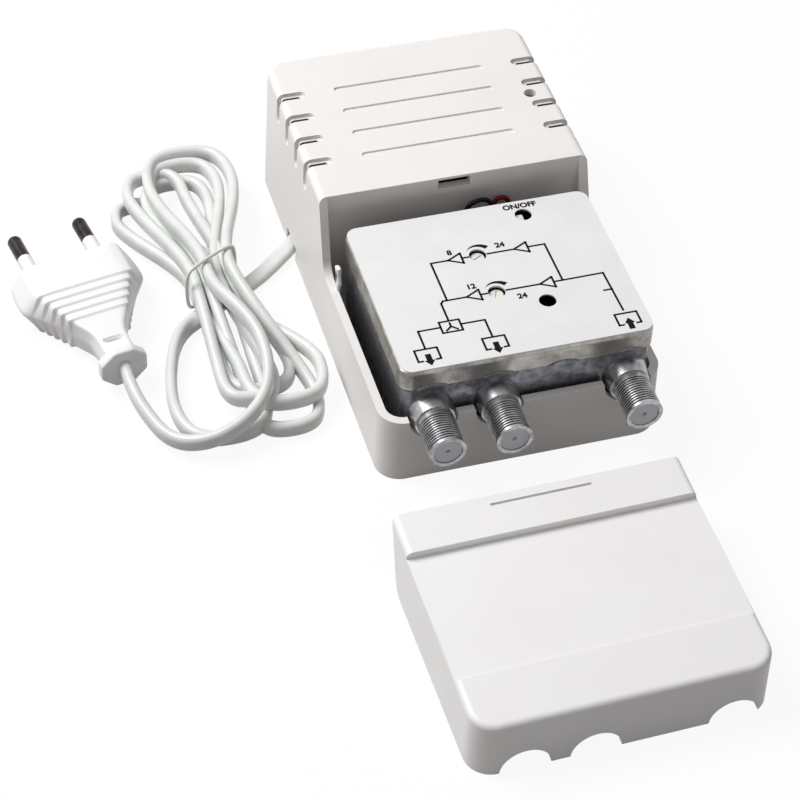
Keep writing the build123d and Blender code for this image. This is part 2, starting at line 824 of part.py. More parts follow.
def make_switch_body():
    """Slide switch body with a channel for its slider."""
    x, y = switch_place
    body = block_on(x, y, rf_board_top, switch_length, switch_width, switch_height)
    channel_low = rf_board_top + switch_height - switch_skin - slider_foot_height - 2 * slider_play
    channel = block_on(x, y, channel_low, switch_length - 2 * switch_skin, slider_knob_width + 2 * switch_skin,
                       slider_foot_height + 2 * slider_play)
    mouth = block_on(x, y, channel_low, slider_knob_length + switch_travel + 2 * slider_play,
                     slider_knob_width + 2 * slider_play, switch_height)
    return body - channel - mouth


def make_switch_slider():
    """Slider of the switch: a foot in the channel and a knob below the label's hole."""
    x, y = switch_place
    x -= switch_travel / 2
    foot_top = rf_board_top + switch_height - switch_skin - slider_play
    foot_low = foot_top - slider_foot_height
    foot = block_on(x, y, foot_low, slider_foot_length, slider_knob_width + 2 * switch_skin - 2 * slider_play,
                    slider_foot_height)
    knob = block_on(x, y, foot_top - slider_play, slider_knob_length, slider_knob_width,
                    lid_under - slider_top_gap + slider_play - foot_top)
    return foot + knob


def lamp(x, y, base, board_top):
    """Round lamp with a flange and two leads down to its board."""
    straight = lamp_body_height - lamp_body_radius
    body = post(x, y, lamp_flange_radius, base, base + lamp_flange_height)
    body += post(x, y, lamp_body_radius, base, base + straight)
    dome = Pos(x, y, base + straight) * Sphere(lamp_body_radius)
    body += dome
    for side in (-1, 1):
        lead_x = x + side * lamp_lead_spacing / 2
        body += post(lead_x, y, lamp_lead_radius, board_top, base + lamp_flange_height / 2)
    return body


def make_chips():
    """Amplifier stages of the module."""
    width, length, height = chip_size
    return [block_on(*on_module(share), rf_board_top, width, length, height) for share in chip_shares]


def make_filter_coils():
    """Small coils of the module's filters, lying on the board."""
    pieces = []
    for share in coil_shares:
        x, y = on_module(share)
        height = rf_board_top + coil_outer_radius
        body = rod_along_y(x, height, coil_outer_radius, y - coil_length / 2, y + coil_length / 2)
        body -= rod_along_y(x, height, coil_inner_radius, y - coil_length, y + coil_length)
        pieces.append(body)
    return pieces


def make_splitter_ferrite():
    """Ferrite of the splitter that feeds the two output sockets."""
    x, y = on_module(ferrite_share)
    height = rf_board_top + ferrite_outer_radius
    body = rod_along_y(x, height, ferrite_outer_radius, y - ferrite_length / 2, y + ferrite_length / 2)
    for side in (-1, 1):
        hole_x = x + side * (ferrite_outer_radius - ferrite_inner_radius) / 2
        body -= rod_along_y(hole_x, height, ferrite_inner_radius / 2, y - ferrite_length, y + ferrite_length)
    return body


def make_rf_capacitors():
    """Small upright capacitors of the module."""
    return [post(*on_module(share), can_radius, rf_board_top, rf_board_top + can_height)
            for share in can_shares]


def make_rf_shield():
    """Tinplate partition across the board between the two bands."""
    y = module_back - shield_setback
    half = module_width * shield_reach_share
    return box_between(module_offset - half, module_offset + half, y - shield_thickness / 2,
                       y + shield_thickness / 2, rf_board_top, rf_board_top + shield_height)


def make_power_board():
    """Supply board on its posts."""
    board = box_between(power_board_left, power_board_right, power_board_front, power_board_back,
                        power_board_under, power_board_top)
    for x, y in power_post_places():
        board -= post(x, y, board_screw_shank_radius + screw_clearance, power_board_under - overrun,
                      power_board_top + overrun)
    return board


core_width = power_board_width * core_width_share
core_offset = power_board_left + core_side_gap + core_width / 2
core_leg = core_width * core_leg_share
core_window_length = core_length * core_window_share
core_window_width = core_width * core_yoke_share
core_y = power_board_back - core_end_gap - core_length / 2
winding_low = power_board_top + transformer_lift
winding_height = housing_height - wall - winding_headroom - winding_low
core_stack = winding_height * core_stack_share
core_middle = winding_low + winding_height / 2


def make_transformer_core():
    """Laminated core with two windows."""
    core = Pos(core_offset, core_y, core_middle) * Box(core_width, core_length, core_stack)
    for side in (-1, 1):
        window_x = core_offset + side * (core_leg + core_window_width) / 2
        core -= Pos(window_x, core_y, core_middle) * Box(core_window_width, core_window_length,
                                                         2 * core_stack)
    return core


def make_transformer_bobbin():
    """Bobbin around the core's middle leg, with flanges and feet down to the board."""
    inner_width = core_leg + 2 * bobbin_play
    inner_height = core_stack + 2 * bobbin_play
    length = core_window_length - 2 * bobbin_play
    tube = Box(inner_width + 2 * bobbin_wall, length, inner_height + 2 * bobbin_wall)
    flange_width = core_leg + 2 * core_window_width - 2 * bobbin_play
    for side in (-1, 1):
        flange_y = side * (length - bobbin_flange) / 2
        tube += Pos(0, flange_y, 0) * Box(flange_width, bobbin_flange, winding_height)
        foot = Box(flange_width / 3, bobbin_flange, winding_height / 2 + transformer_lift)
        tube += Pos(0, flange_y, -(winding_height / 2 + transformer_lift) / 2) * foot
    tube -= Box(inner_width, 2 * length, inner_height)
    return Pos(core_offset, core_y, core_middle) * tube


def make_transformer_windings():
    """Both windings as one wrapped block between the flanges."""
    inner_width = core_leg + 2 * bobbin_play + 2 * bobbin_wall
    inner_height = core_stack + 2 * bobbin_play + 2 * bobbin_wall
    length = core_window_length - 2 * bobbin_play - 2 * bobbin_flange
    outer_width = core_leg + 2 * core_window_width - 2 * bobbin_play - 2 * winding_margin
    outer = Box(outer_width, length, winding_height - 2 * winding_margin)
    outer = fillet(outer.edges().filter_by(Axis.Y), winding_corner)
    outer -= Box(inner_width, 2 * length, inner_height)
    return Pos(core_offset, core_y, core_middle) * outer


def make_reservoir_capacitor():
    """Upright electrolytic can with a rolled groove near its foot."""
    x, y = on_power_board(reservoir_place)
    can = post(x, y, reservoir_radius, power_board_top, power_board_top + reservoir_height)
    can = fillet(can.edges().sort_by(Axis.Z)[-1], reservoir_groove)
    groove_height = power_board_top + 4 * reservoir_groove
    ring = post(x, y, reservoir_radius + overrun, groove_height, groove_height + 2 * reservoir_groove)
    ring -= post(x, y, reservoir_radius - reservoir_groove, groove_height - overrun, groove_height + overrun)
    return can - ring


def make_bridge_rectifier():
    """Round bridge rectifier on the supply board."""
    x, y = on_power_board(rectifier_place)
    body = post(x, y, rectifier_radius, power_board_top, power_board_top + rectifier_height)
    flat = block_on(x, y - rectifier_radius - rectifier_radius * 2 / 3, power_board_top, 2 * rectifier_radius,
                    2 * rectifier_radius, rectifier_height)
    return body - flat


def make_voltage_regulator():
    """Upright regulator with three leads."""
    x, y = on_power_board(regulator_place)
    low = power_board_top + regulator_lead_lift
    body = block_on(x, y, low, regulator_width, regulator_thickness, regulator_height)
    for step in (-1, 0, 1):
        body += post(x + step * lamp_lead_spacing, y, regulator_lead_radius, power_board_top,
                     low + regulator_lead_radius)
    return body


def make_regulator_heat_sink():
    """Bent sheet heat sink behind the regulator."""
    x, y = on_power_board(regulator_place)
    back = y + regulator_thickness / 2
    sheet = box_between(x - heat_sink_width / 2, x + heat_sink_width / 2, back, back + heat_sink_sheet,
                        power_board_top, power_board_top + heat_sink_height)
    for side in (-1, 1):
        edge = x + side * (heat_sink_width - heat_sink_sheet) / 2
        sheet += box_between(edge - heat_sink_sheet / 2, edge + heat_sink_sheet / 2, back,
                             back + heat_sink_depth, power_board_top, power_board_top + heat_sink_height)
    return sheet


def make_mains_fuse():
    """Glass tube fuse with two metal caps, lying along Y."""
    x = power_board_right - fuse_inset
    y = power_board_front + fuse_setback
    height = power_board_top + fuse_lift
    half = fuse_length / 2
    body = rod_along_y(x, height, fuse_radius - fuse_glass_inset, y - half, y + half)
    for end in (y - half, y + half - fuse_cap_length):
        body += rod_along_y(x, height, fuse_radius, end, end + fuse_cap_length)
    return body


def make_fuse_clips():
    """Two spring clips that hold the fuse's caps."""
    x = power_board_right - fuse_inset
    y = power_board_front + fuse_setback
    height = power_board_top + fuse_lift
    pieces = []
    for middle in (y - (fuse_length - fuse_cap_length) / 2, y + (fuse_length - fuse_cap_length) / 2):
        half = clip_width / 2
        outer = fuse_radius + screw_clearance + clip_sheet
        clip = rod_along_y(x, height, outer, middle - half, middle + half)
        clip += box_between(x - clip_sheet, x + clip_sheet, middle - half, middle + half,
                            power_board_top, height)
        clip -= rod_along_y(x, height, fuse_radius + screw_clearance, middle - clip_width,
                            middle + clip_width)
        clip -= box_between(x - outer, x + outer, middle - clip_width, middle + clip_width,
                            height + fuse_radius / 2, height + 2 * fuse_radius)
        pieces.append(clip)
    return pieces


power_lamp_top = housing_height - wall - lamp_recess
power_lamp_base = power_lamp_top - lamp_body_height


def make_power_lamp_bracket():
    """Upright tube from the rear plate that holds the power lamp under its window."""
    tube = post(lamp_x, lamp_y, lamp_spacer_radius, plate_thickness, power_lamp_base)
    return tube - post(lamp_x, lamp_y, lamp_spacer_bore, plate_thickness + wall, power_lamp_base + overrun)


def corner_radii(route):
    """Arc radius at each inner point of a route: 0.45 of the shorter run over the tangent of half the turn."""
    arc_share = 0.45
    points = [Vector(*point) for point in route]
    radii = []
    for before, here, after in zip(points, points[1:], points[2:]):
        turn = math.radians((here - before).get_angle(after - here))
        run = min((here - before).length, (after - here).length)
        radii.append(arc_share * run / math.tan(turn / 2))
    return radii


def tube_along(path, radius):
    """Round tube along a path of straight runs and tangent arcs."""
    section = Plane(origin=path @ 0, z_dir=path % 0) * Circle(radius)
    return sweep(section, path=path)


def cord_tube(name, route, radius):
    """Tube along a route, with its radii and its volume check printed."""
    radii = corner_radii(route)
    path = FilletPolyline(*route, radius=radii)
    tube = tube_along(path, radius)
    expected = math.pi * radius ** 2 * path.length
    shown = ", ".join(f"{value:.1f}" for value in radii)
    print(f"{name}: length {path.length:.1f}, radii {shown}, volume over section times length "
          f"{tube.volume / expected:.4f}")
    return tube


def hank_point(quarter):
    """Point and heading of the hank at a quarter step, eight to a loop, from the waist's left side."""
    halves = quarter / 4
    out = abs(halves - hank_turning) / 2
    waist = hank_waist_core + hank_step * out
    bottom = hank_bottom_core + hank_step * out
    top = hank_top_core + hank_step * out
    bottom_out = abs(hank_start + 1 / 4 - hank_turning) / 2 - out
    top_out = abs(hank_end - 1 / 2 - hank_turning) / 2 - out
    bottom_end = hank_step * bottom_out - hank_bottom_end
    top_end = hank_top_end - hank_step * top_out
    low = cord_radius + (hank_layer_step if halves > hank_climb else 0)
    high = low + hank_waist_lift
    stations = [(-waist, 0, high, (0, -1, 0)), (-bottom, -hank_bottom_widest, low, (0, -1, 0)),
                (0, bottom_end, low, (1, 0, 0)), (bottom, -hank_bottom_widest, low, (0, 1, 0)),
                (waist, 0, high, (0, 1, 0)), (top, hank_top_widest, low, (0, 1, 0)),
                (0, top_end, low, (-1, 0, 0)), (-top, hank_top_widest, low, (0, -1, 0))]
    x, y, z, heading = stations[quarter % 8]
    return Vector(hank_x + x, hank_y + y, z), Vector(*heading)


def biarc(start, start_heading, end, end_heading):
    """Two tangent arcs that join two points with given headings."""
    across = end - start
    both = start_heading + end_heading
    spread = 2 * (1 - start_heading.dot(end_heading))
    if spread < 1e-9:
        reach = across.dot(across) / (4 * across.dot(end_heading))
    else:
        root = math.sqrt(across.dot(both) ** 2 + spread * across.dot(across))
        reach = (root - across.dot(both)) / spread
    first = start + start_heading * reach
    second = end - end_heading * reach
    middle = (first + second) * (1 / 2)
    heading = (second - first).normalized()
    return [Edge.make_tangent_arc(start, start_heading, middle),
            Edge.make_tangent_arc(middle, heading, end)]


def least_gap(edges, samples):
    """Least gap between the hank's own strands, measured on points along its line."""
    points = []
    travelled = 0
    for edge in edges:
        for step in range(samples):
            share = step / samples
            points.append((travelled + share * edge.length, edge @ share))
        travelled += edge.length
    nearest = travelled
    for number, (place, point) in enumerate(points):
        for other_place, other in points[number + 1:]:
            if other_place - place > 4 * cord_size:
                nearest = min(nearest, (other - point).length)
    return nearest - cord_size


def hank_edges():
    """Arcs of the hank from the lead's end to the tail's start."""
    stations = [hank_point(quarter) for quarter in range(int(4 * hank_start), int(4 * hank_end) + 1)]
    edges = []
    for (start, start_heading), (end, end_heading) in zip(stations, stations[1:]):
        edges += biarc(start, start_heading, end, end_heading)
    return edges


def make_cord_hank():
    """Hank of the cord: one unbroken tube through all its loops."""
    edges = hank_edges()
    path = Wire(edges)
    print(f"hank: length {path.length:.1f}, least gap to itself {least_gap(edges, 8):.2f}")
    tube = tube_along(path, cord_radius)
    expected = math.pi * cord_radius ** 2 * path.length
    print(f"hank: volume over section times length {tube.volume / expected:.4f}")
    return tube


def make_hank_tie():
    """Wire tie around the hank's waist."""
    waists = [hank_point(quarter)[0] for quarter in range(4, int(4 * hank_end) + 1, 4)]
    reach = cord_radius + tie_gap + tie_radius
    left = min(point.X for point in waists) - reach
    right = max(point.X for point in waists) + reach
    low = min(point.Z for point in waists) - reach
    high = max(point.Z for point in waists) + reach
    ring = RectangleRounded(right - left, high - low, reach)
    place = Pos((left + right) / 2, hank_y, (low + high) / 2)
    return tube_along((place * (Plane.XZ * ring)).face().outer_wire(), tie_radius)


def plug_frame():
    """Frame of the plug: origin in the middle of its pin face, Y axis along the pins, Z up."""
    end = Vector(*tail_route[-1])
    length = plug_straight + plug_taper + plug_neck_length + plug_collar_length
    turn = math.radians(plug_angle)
    face = end + Vector(-math.sin(turn), math.cos(turn), 0) * length
    return Pos(face.X, face.Y, end.Z) * Rot(0, 0, plug_angle)


def plug_section(y, width, flat_width, thickness):
    """Six-sided section of the plug's body, with side ridges, at a place along its axis."""
    half = thickness / 2
    points = [(-width / 2, 0), (-flat_width / 2, half), (flat_width / 2, half), (width / 2, 0),
              (flat_width / 2, -half), (-flat_width / 2, -half)]
    return Pos(0, y, 0) * (Plane.XZ * Polygon(*points, align=None))


def make_plug_body():
    """Moulded plug body: straight six-sided head, tapering grip with ribs, neck and collar."""
    head_end = -plug_straight
    neck_start = head_end - plug_taper
    collar_start = neck_start - plug_neck_length
    flat_share = plug_face_width / plug_width
    waist_width = (plug_width + 2 * plug_neck_width) / 3
    waist_thickness = (plug_thickness + 2 * plug_neck_thickness) / 3
    sections = [plug_section(0, plug_width, plug_face_width, plug_thickness),
                plug_section(head_end, plug_width, plug_face_width, plug_thickness),
                plug_section(head_end - plug_taper * 2 / 3, waist_width, waist_width * flat_share,
                             waist_thickness),
                plug_section(neck_start, plug_neck_width, plug_neck_width * flat_share, plug_neck_thickness),
                plug_section(collar_start, plug_neck_width, plug_neck_width * flat_share,
                             plug_neck_thickness)]
    body = loft(sections, ruled=True)
    cut = plug_collar_width * plug_collar_cut_share
    collar = chamfer(Rectangle(plug_collar_width, plug_collar_height).vertices(), cut)
    body += extrude(Pos(0, collar_start, 0) * (Plane.XZ * collar), amount=plug_collar_length)
    rib_width = plug_face_width - 2 * plug_edge_radius
    whole = Box(2 * plug_width, 4 * plug_taper, plug_thickness)
    for rib in range(grip_count):
        rib_y = head_end - grip_pitch * (rib + 1 / 2)
        share = grip_pitch * (rib + 1 / 2) / plug_taper
        drop = (plug_thickness - waist_thickness) / 2 * share * 3 / 2
        narrow = rib_width - (rib_width - waist_width * flat_share) * share * 3 / 2
        for side in (-1, 1):
            height = side * (plug_thickness / 2 - drop)
            rib_block = Pos(0, rib_y, height) * Box(narrow, grip_pitch / 2, 2 * grip_depth)
            body += rib_block & whole
    for x in (-pin_spacing / 2, pin_spacing / 2):
        body -= rod_along_y(x, 0, pin_radius - sleeve_wall, -pin_root, overrun)
    return plug_frame() * body


def make_plug_pins():
    """Two round pins with rounded tips, narrower where a sleeve covers them."""
    pieces = []
    for x in (-pin_spacing / 2, pin_spacing / 2):
        tip_start = pin_length - pin_tip_length
        pin = rod_along_y(x, 0, pin_radius, tip_start, pin_length)
        pin = fillet(pin.edges().sort_by(Axis.Y)[-1], pin_tip_round)
        pin += rod_along_y(x, 0, pin_radius - sleeve_wall, -pin_root, tip_start)
        pieces.append(plug_frame() * pin)
    return pieces


def make_pin_sleeves():
    """Insulating sleeves on the pins next to the plug's face."""
    pieces = []
    for x in (-pin_spacing / 2, pin_spacing / 2):
        tip_start = pin_length - pin_tip_length
        sleeve = rod_along_y(x, 0, pin_radius, 0, tip_start)
        sleeve -= rod_along_y(x, 0, pin_radius - sleeve_wall, -overrun, tip_start + overrun)
        pieces.append(plug_frame() * sleeve)
    return pieces


def make_cord_clamp():
    """Strain relief: a block in the plate's pocket that grips the cord, on a screwed foot."""
    low = cord_radius / 4
    block = box_between(clamp_setback, clamp_setback + clamp_length, -clamp_width / 2, clamp_width / 2,
                        low, clamp_height)
    foot_middle = clamp_setback + clamp_length - clamp_foot_length / 2
    foot = box_between(foot_middle - clamp_foot_length / 2, foot_middle + clamp_foot_length / 2,
                       -clamp_foot_width / 2, clamp_foot_width / 2, plate_thickness,
                       plate_thickness + clamp_foot_thickness)
    body = block + foot
    for side in (-1, 1):
        body -= post(foot_middle, side * clamp_screw_spacing / 2, board_screw_shank_radius + screw_clearance,
                     -overrun, clamp_height)
    return cord_frame() * body


def make_cord_clamp_screws():
    """Two screws that hold the clamp's foot on the rear plate."""
    height = plate_thickness + clamp_foot_thickness
    pieces = []
    for side in (-1, 1):
        piece = screw(clamp_foot_offset(), side * clamp_screw_spacing / 2, height, clamp_screw_length,
                      board_screw_shank_radius, board_screw_head_radius, board_screw_head_height, False)
        pieces.append(clamp_frame() * piece)
    return pieces


def make_mains_wires():
    """Two insulated wires from the clamp up to the supply board's left edge."""
    pieces = []
    for side in (-1, 1):
        reach = 2 * mains_wire_radius
        height = clamp_height - reach
        start = (clamp_frame() * Pos(clamp_length / 2, side * mains_wire_spread, height)).position
        out = (clamp_frame() * Pos(clamp_length / 2 + reach, side * mains_wire_spread, height)).position
        end_x = power_board_left + power_post_inset
        route = [start, out, Vector(end_x, out.Y + reach, power_board_top + 2 * reach),
                 Vector(end_x, out.Y + reach, power_board_top)]
        path = FilletPolyline(*route, radius=corner_radii(route))
        pieces.append(tube_along(path, mains_wire_radius))
    return pieces


NODES = {
    "upper_housing": make_upper_housing,
    "front_cover": make_front_cover,
    "rear_plate": make_rear_plate,
    "rear_plate_screws": make_rear_plate_screws,
    "module_screws": make_module_screws,
    "rf_tub": make_rf_tub,
    "socket_snouts": make_socket_snouts,
    "rf_lid": make_rf_lid,
    "rf_label": make_rf_label,
    "rf_board": make_rf_board,
    "rf_board_screws": make_rf_board_screws,
    "socket_insulators": make_socket_insulators,
    "socket_contacts": make_socket_contacts,
    "vhf_trimmer_body": lambda: make_trimmer_body(vhf_place),
    "vhf_trimmer_rotor": lambda: make_trimmer_rotor(vhf_place, 210),
    "uhf_trimmer_body": lambda: make_trimmer_body(uhf_place),
    "uhf_trimmer_rotor": lambda: make_trimmer_rotor(uhf_place, 250),
    "switch_body": make_switch_body,
    "switch_slider": make_switch_slider,
    "preamp_lamp": lambda: lamp(*preamp_lamp_place, rf_board_top + preamp_lamp_standoff, rf_board_top),
    "amplifier_chips": make_chips,
    "filter_coils": make_filter_coils,
    "splitter_ferrite": make_splitter_ferrite,
    "rf_capacitors": make_rf_capacitors,
    "rf_shield": make_rf_shield,
    "power_board": make_power_board,
    "power_board_screws": make_power_board_screws,
    "transformer_core": make_transformer_core,
    "transformer_bobbin": make_transformer_bobbin,
    "transformer_windings": make_transformer_windings,
    "reservoir_capacitor": make_reservoir_capacitor,
    "bridge_rectifier": make_bridge_rectifier,
    "voltage_regulator": make_voltage_regulator,
    "regulator_heat_sink": make_regulator_heat_sink,
    "mains_fuse": make_mains_fuse,
    "fuse_clips": make_fuse_clips,
    "power_lamp": lambda: lamp(lamp_x, lamp_y, power_lamp_base, plate_thickness + wall),
    "power_lamp_bracket": make_power_lamp_bracket,
    "black_wire": lambda: cord_tube("black wire", black_wire_route, wire_radius),
    "red_wire": lambda: cord_tube("red wire", red_wire_route, wire_radius),
    "mains_wires": make_mains_wires,
    "cord_clamp": make_cord_clamp,
    "cord_clamp_screws": make_cord_clamp_screws,
    "cord_lead": lambda: cord_tube("lead", lead_route, cord_radius),
    "cord_hank": make_cord_hank,
    "cord_tail": lambda: cord_tube("tail", tail_route, cord_radius),
    "hank_tie": make_hank_tie,
    "plug_body": make_plug_body,
    "plug_pins": make_plug_pins,
    "pin_sleeves": make_pin_sleeves,
}

for name, make in NODES.items():
    shape = make()
    if isinstance(shape, list):
        shape = Compound(children=shape)
    export_step(shape, f"parts/{name}.step")
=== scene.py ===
"""Scene of a mains powered aerial amplifier: a moulded housing, its module, its cover and its cord."""

import json
import logging
import math
from dataclasses import dataclass, field
from enum import Enum
from functools import partial, reduce
from typing import Callable, Iterable

import bmesh
import bpy
from bmesh.types import BMEdge, BMesh, BMVert
from bpy.types import Curve, NodeSocket, NodeTree, Object
from mathutils import Matrix, Vector

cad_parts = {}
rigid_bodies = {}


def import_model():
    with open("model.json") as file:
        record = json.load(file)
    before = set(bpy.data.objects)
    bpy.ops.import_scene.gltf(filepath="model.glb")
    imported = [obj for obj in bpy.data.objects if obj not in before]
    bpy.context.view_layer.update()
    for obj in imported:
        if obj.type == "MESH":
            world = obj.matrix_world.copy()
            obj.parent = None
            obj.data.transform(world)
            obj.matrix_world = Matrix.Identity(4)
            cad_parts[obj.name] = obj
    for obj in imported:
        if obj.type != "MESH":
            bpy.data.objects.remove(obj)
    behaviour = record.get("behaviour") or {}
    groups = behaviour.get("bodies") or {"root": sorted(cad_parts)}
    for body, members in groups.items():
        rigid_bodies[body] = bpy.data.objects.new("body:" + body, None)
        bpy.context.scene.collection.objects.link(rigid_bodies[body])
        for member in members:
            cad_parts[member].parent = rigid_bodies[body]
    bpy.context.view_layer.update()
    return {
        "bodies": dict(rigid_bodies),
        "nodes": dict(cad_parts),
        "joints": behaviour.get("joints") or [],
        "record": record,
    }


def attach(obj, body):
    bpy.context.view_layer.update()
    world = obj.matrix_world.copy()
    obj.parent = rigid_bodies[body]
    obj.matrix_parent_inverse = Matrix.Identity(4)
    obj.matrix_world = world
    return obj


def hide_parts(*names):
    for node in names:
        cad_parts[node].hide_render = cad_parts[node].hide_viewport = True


LOG = logging.getLogger("amplifier")
MM = 0.001

# Places on the CAD solids, in millimetres: the vents' slits, the sockets' threads and the trimmers' dials
VENT_MIDDLE = 16.05
VENT_PITCH = 9.45
VENT_COUNT = 4
SLIT_WIDTH = 1.96
SLIT_INNER_X = 30.9
SLIT_OUTER_X = 35.6
SLIT_LOW_Z = 33.0
SOCKET_MIDDLES = (-24.1, -6.9, 27.1)
SOCKET_HEIGHT = 19.5
SOCKET_BORE = 3.9
THREAD_ROOT = 4.58
THREAD_CREST = 4.755
THREAD_BACK_Y = -63.5
THREAD_FRONT_Y = -73.3
VHF_DIAL = (-1.1, -22.2)
UHF_DIAL = (-0.6, -36.6)
TO_METRES = Matrix.Scale(MM, 4)
# Shares of a cap's half width, and how strong the painted shade in the threads' roots is
CAP_SHOULDER = 0.6
CAP_FOOT = 1.7
ROOT_PAINTED_SHADE = 0.92
PAPER_GREY = "#969290"
PAPER_WHITE = "#F8F8F8"
ROOM_WHITE = "#FBFAFC"
WHITE = (1.0, 1.0, 1.0, 1.0)
# The part of a noise's range that the patches and the gloss make use of
PATCH_NOISE = (0.35, 0.65)
GLOSS_NOISE = (0.3, 0.7)

Point = tuple[float, float, float]
Place = tuple[float, float]


def linear_colour(text: str) -> tuple[float, float, float, float]:
    """Turn an sRGB hex value into a linear colour.

    Args:
        text: Six hex digits after a hash sign.

    Returns:
        The linear red, green, blue and alpha.
    """
    shares = [int(text[i:i + 2], 16) / 255 for i in (1, 3, 5)]
    linear = [s / 12.92 if s <= 0.04045 else ((s + 0.055) / 1.055) ** 2.4 for s in shares]
    return (*linear, 1.0)


def add_node(tree: NodeTree, kind: str, links: dict | None = None, **settings) -> bpy.types.Node:
    """Add a node with its settings and its links.

    Args:
        tree: The material's node tree.
        kind: The node's type name, without the ShaderNode prefix.
        links: Output sockets or plain values, by input name or number.
        **settings: Properties of the node itself.

    Returns:
        The new node.
    """
    node = tree.nodes.new("ShaderNode" + kind)
    for name, value in settings.items():
        setattr(node, name, value)
    for name, value in (links or {}).items():
        if isinstance(value, NodeSocket):
            tree.links.new(value, node.inputs[name])
        else:
            node.inputs[name].default_value = value
    return node


def combine(tree: NodeTree, operation: str, *values) -> NodeSocket:
    """Work out one number from others in a material.

    Args:
        tree: The material's node tree.
        operation: Name of the operation of a Math node.
        *values: Output sockets or plain numbers.

    Returns:
        The result's socket.
    """
    return add_node(tree, "Math", dict(enumerate(values)), operation=operation).outputs[0]


def map_range(tree: NodeTree, value: NodeSocket, source: Place, target: Place) -> NodeSocket:
    """Map one range of a number on another in a material, and return the result's socket."""
    names = ("Value", "From Min", "From Max", "To Min", "To Max")
    return add_node(tree, "MapRange", dict(zip(names, (value, *source, *target)))).outputs["Result"]


def vent_painted_shade(tree: NodeTree, place: NodeSocket) -> NodeSocket:
    """Find where shade is painted: in the narrow vent slits and along them, where no light reaches.

    Args:
        tree: The material's node tree.
        place: Object coordinates.

    Returns:
        One in the slits, zero elsewhere.
    """
    sums = partial(combine, tree)
    axes = add_node(tree, "SeparateXYZ", {0: place}).outputs
    row = sums("DIVIDE", sums("SUBTRACT", axes["Y"], VENT_MIDDLE * MM), VENT_PITCH * MM)
    off = sums("SUBTRACT", row, sums("ROUND", row))
    return reduce(partial(sums, "MULTIPLY"), (
        sums("COMPARE", off, 0.0, SLIT_WIDTH / 2 / VENT_PITCH),
        sums("GREATER_THAN", sums("ABSOLUTE", axes["X"]), SLIT_INNER_X * MM),
        sums("LESS_THAN", sums("ABSOLUTE", axes["X"]), SLIT_OUTER_X * MM),
        sums("GREATER_THAN", axes["Z"], SLIT_LOW_Z * MM),
        sums("GREATER_THAN", row, -0.5), sums("LESS_THAN", row, VENT_COUNT - 0.5)))


def thread_root_painted_shade(tree: NodeTree, place: NodeSocket) -> NodeSocket:
    """Find the roots of the socket threads, where shade is painted.

    Args:
        tree: The material's node tree.
        place: Object coordinates.

    Returns:
        One in the roots, zero on the crests.
    """
    sums = partial(combine, tree)
    axes = add_node(tree, "SeparateXYZ", {0: place}).outputs
    rise = sums("SUBTRACT", axes["Z"], SOCKET_HEIGHT * MM)
    nearest = 1.0
    for middle in SOCKET_MIDDLES:
        run = sums("SUBTRACT", axes["X"], middle * MM)
        squares = sums("ADD", sums("MULTIPLY", run, run), sums("MULTIPLY", rise, rise))
        nearest = sums("MINIMUM", sums("SQRT", squares), nearest)
    roots = map_range(tree, nearest, (THREAD_ROOT * MM, THREAD_CREST * MM), (ROOT_PAINTED_SHADE, 0.0))
    return reduce(partial(sums, "MULTIPLY"), (
        roots, sums("GREATER_THAN", nearest, SOCKET_BORE * MM),
        sums("LESS_THAN", axes["Y"], THREAD_BACK_Y * MM),
        sums("GREATER_THAN", axes["Y"], THREAD_FRONT_Y * MM)))


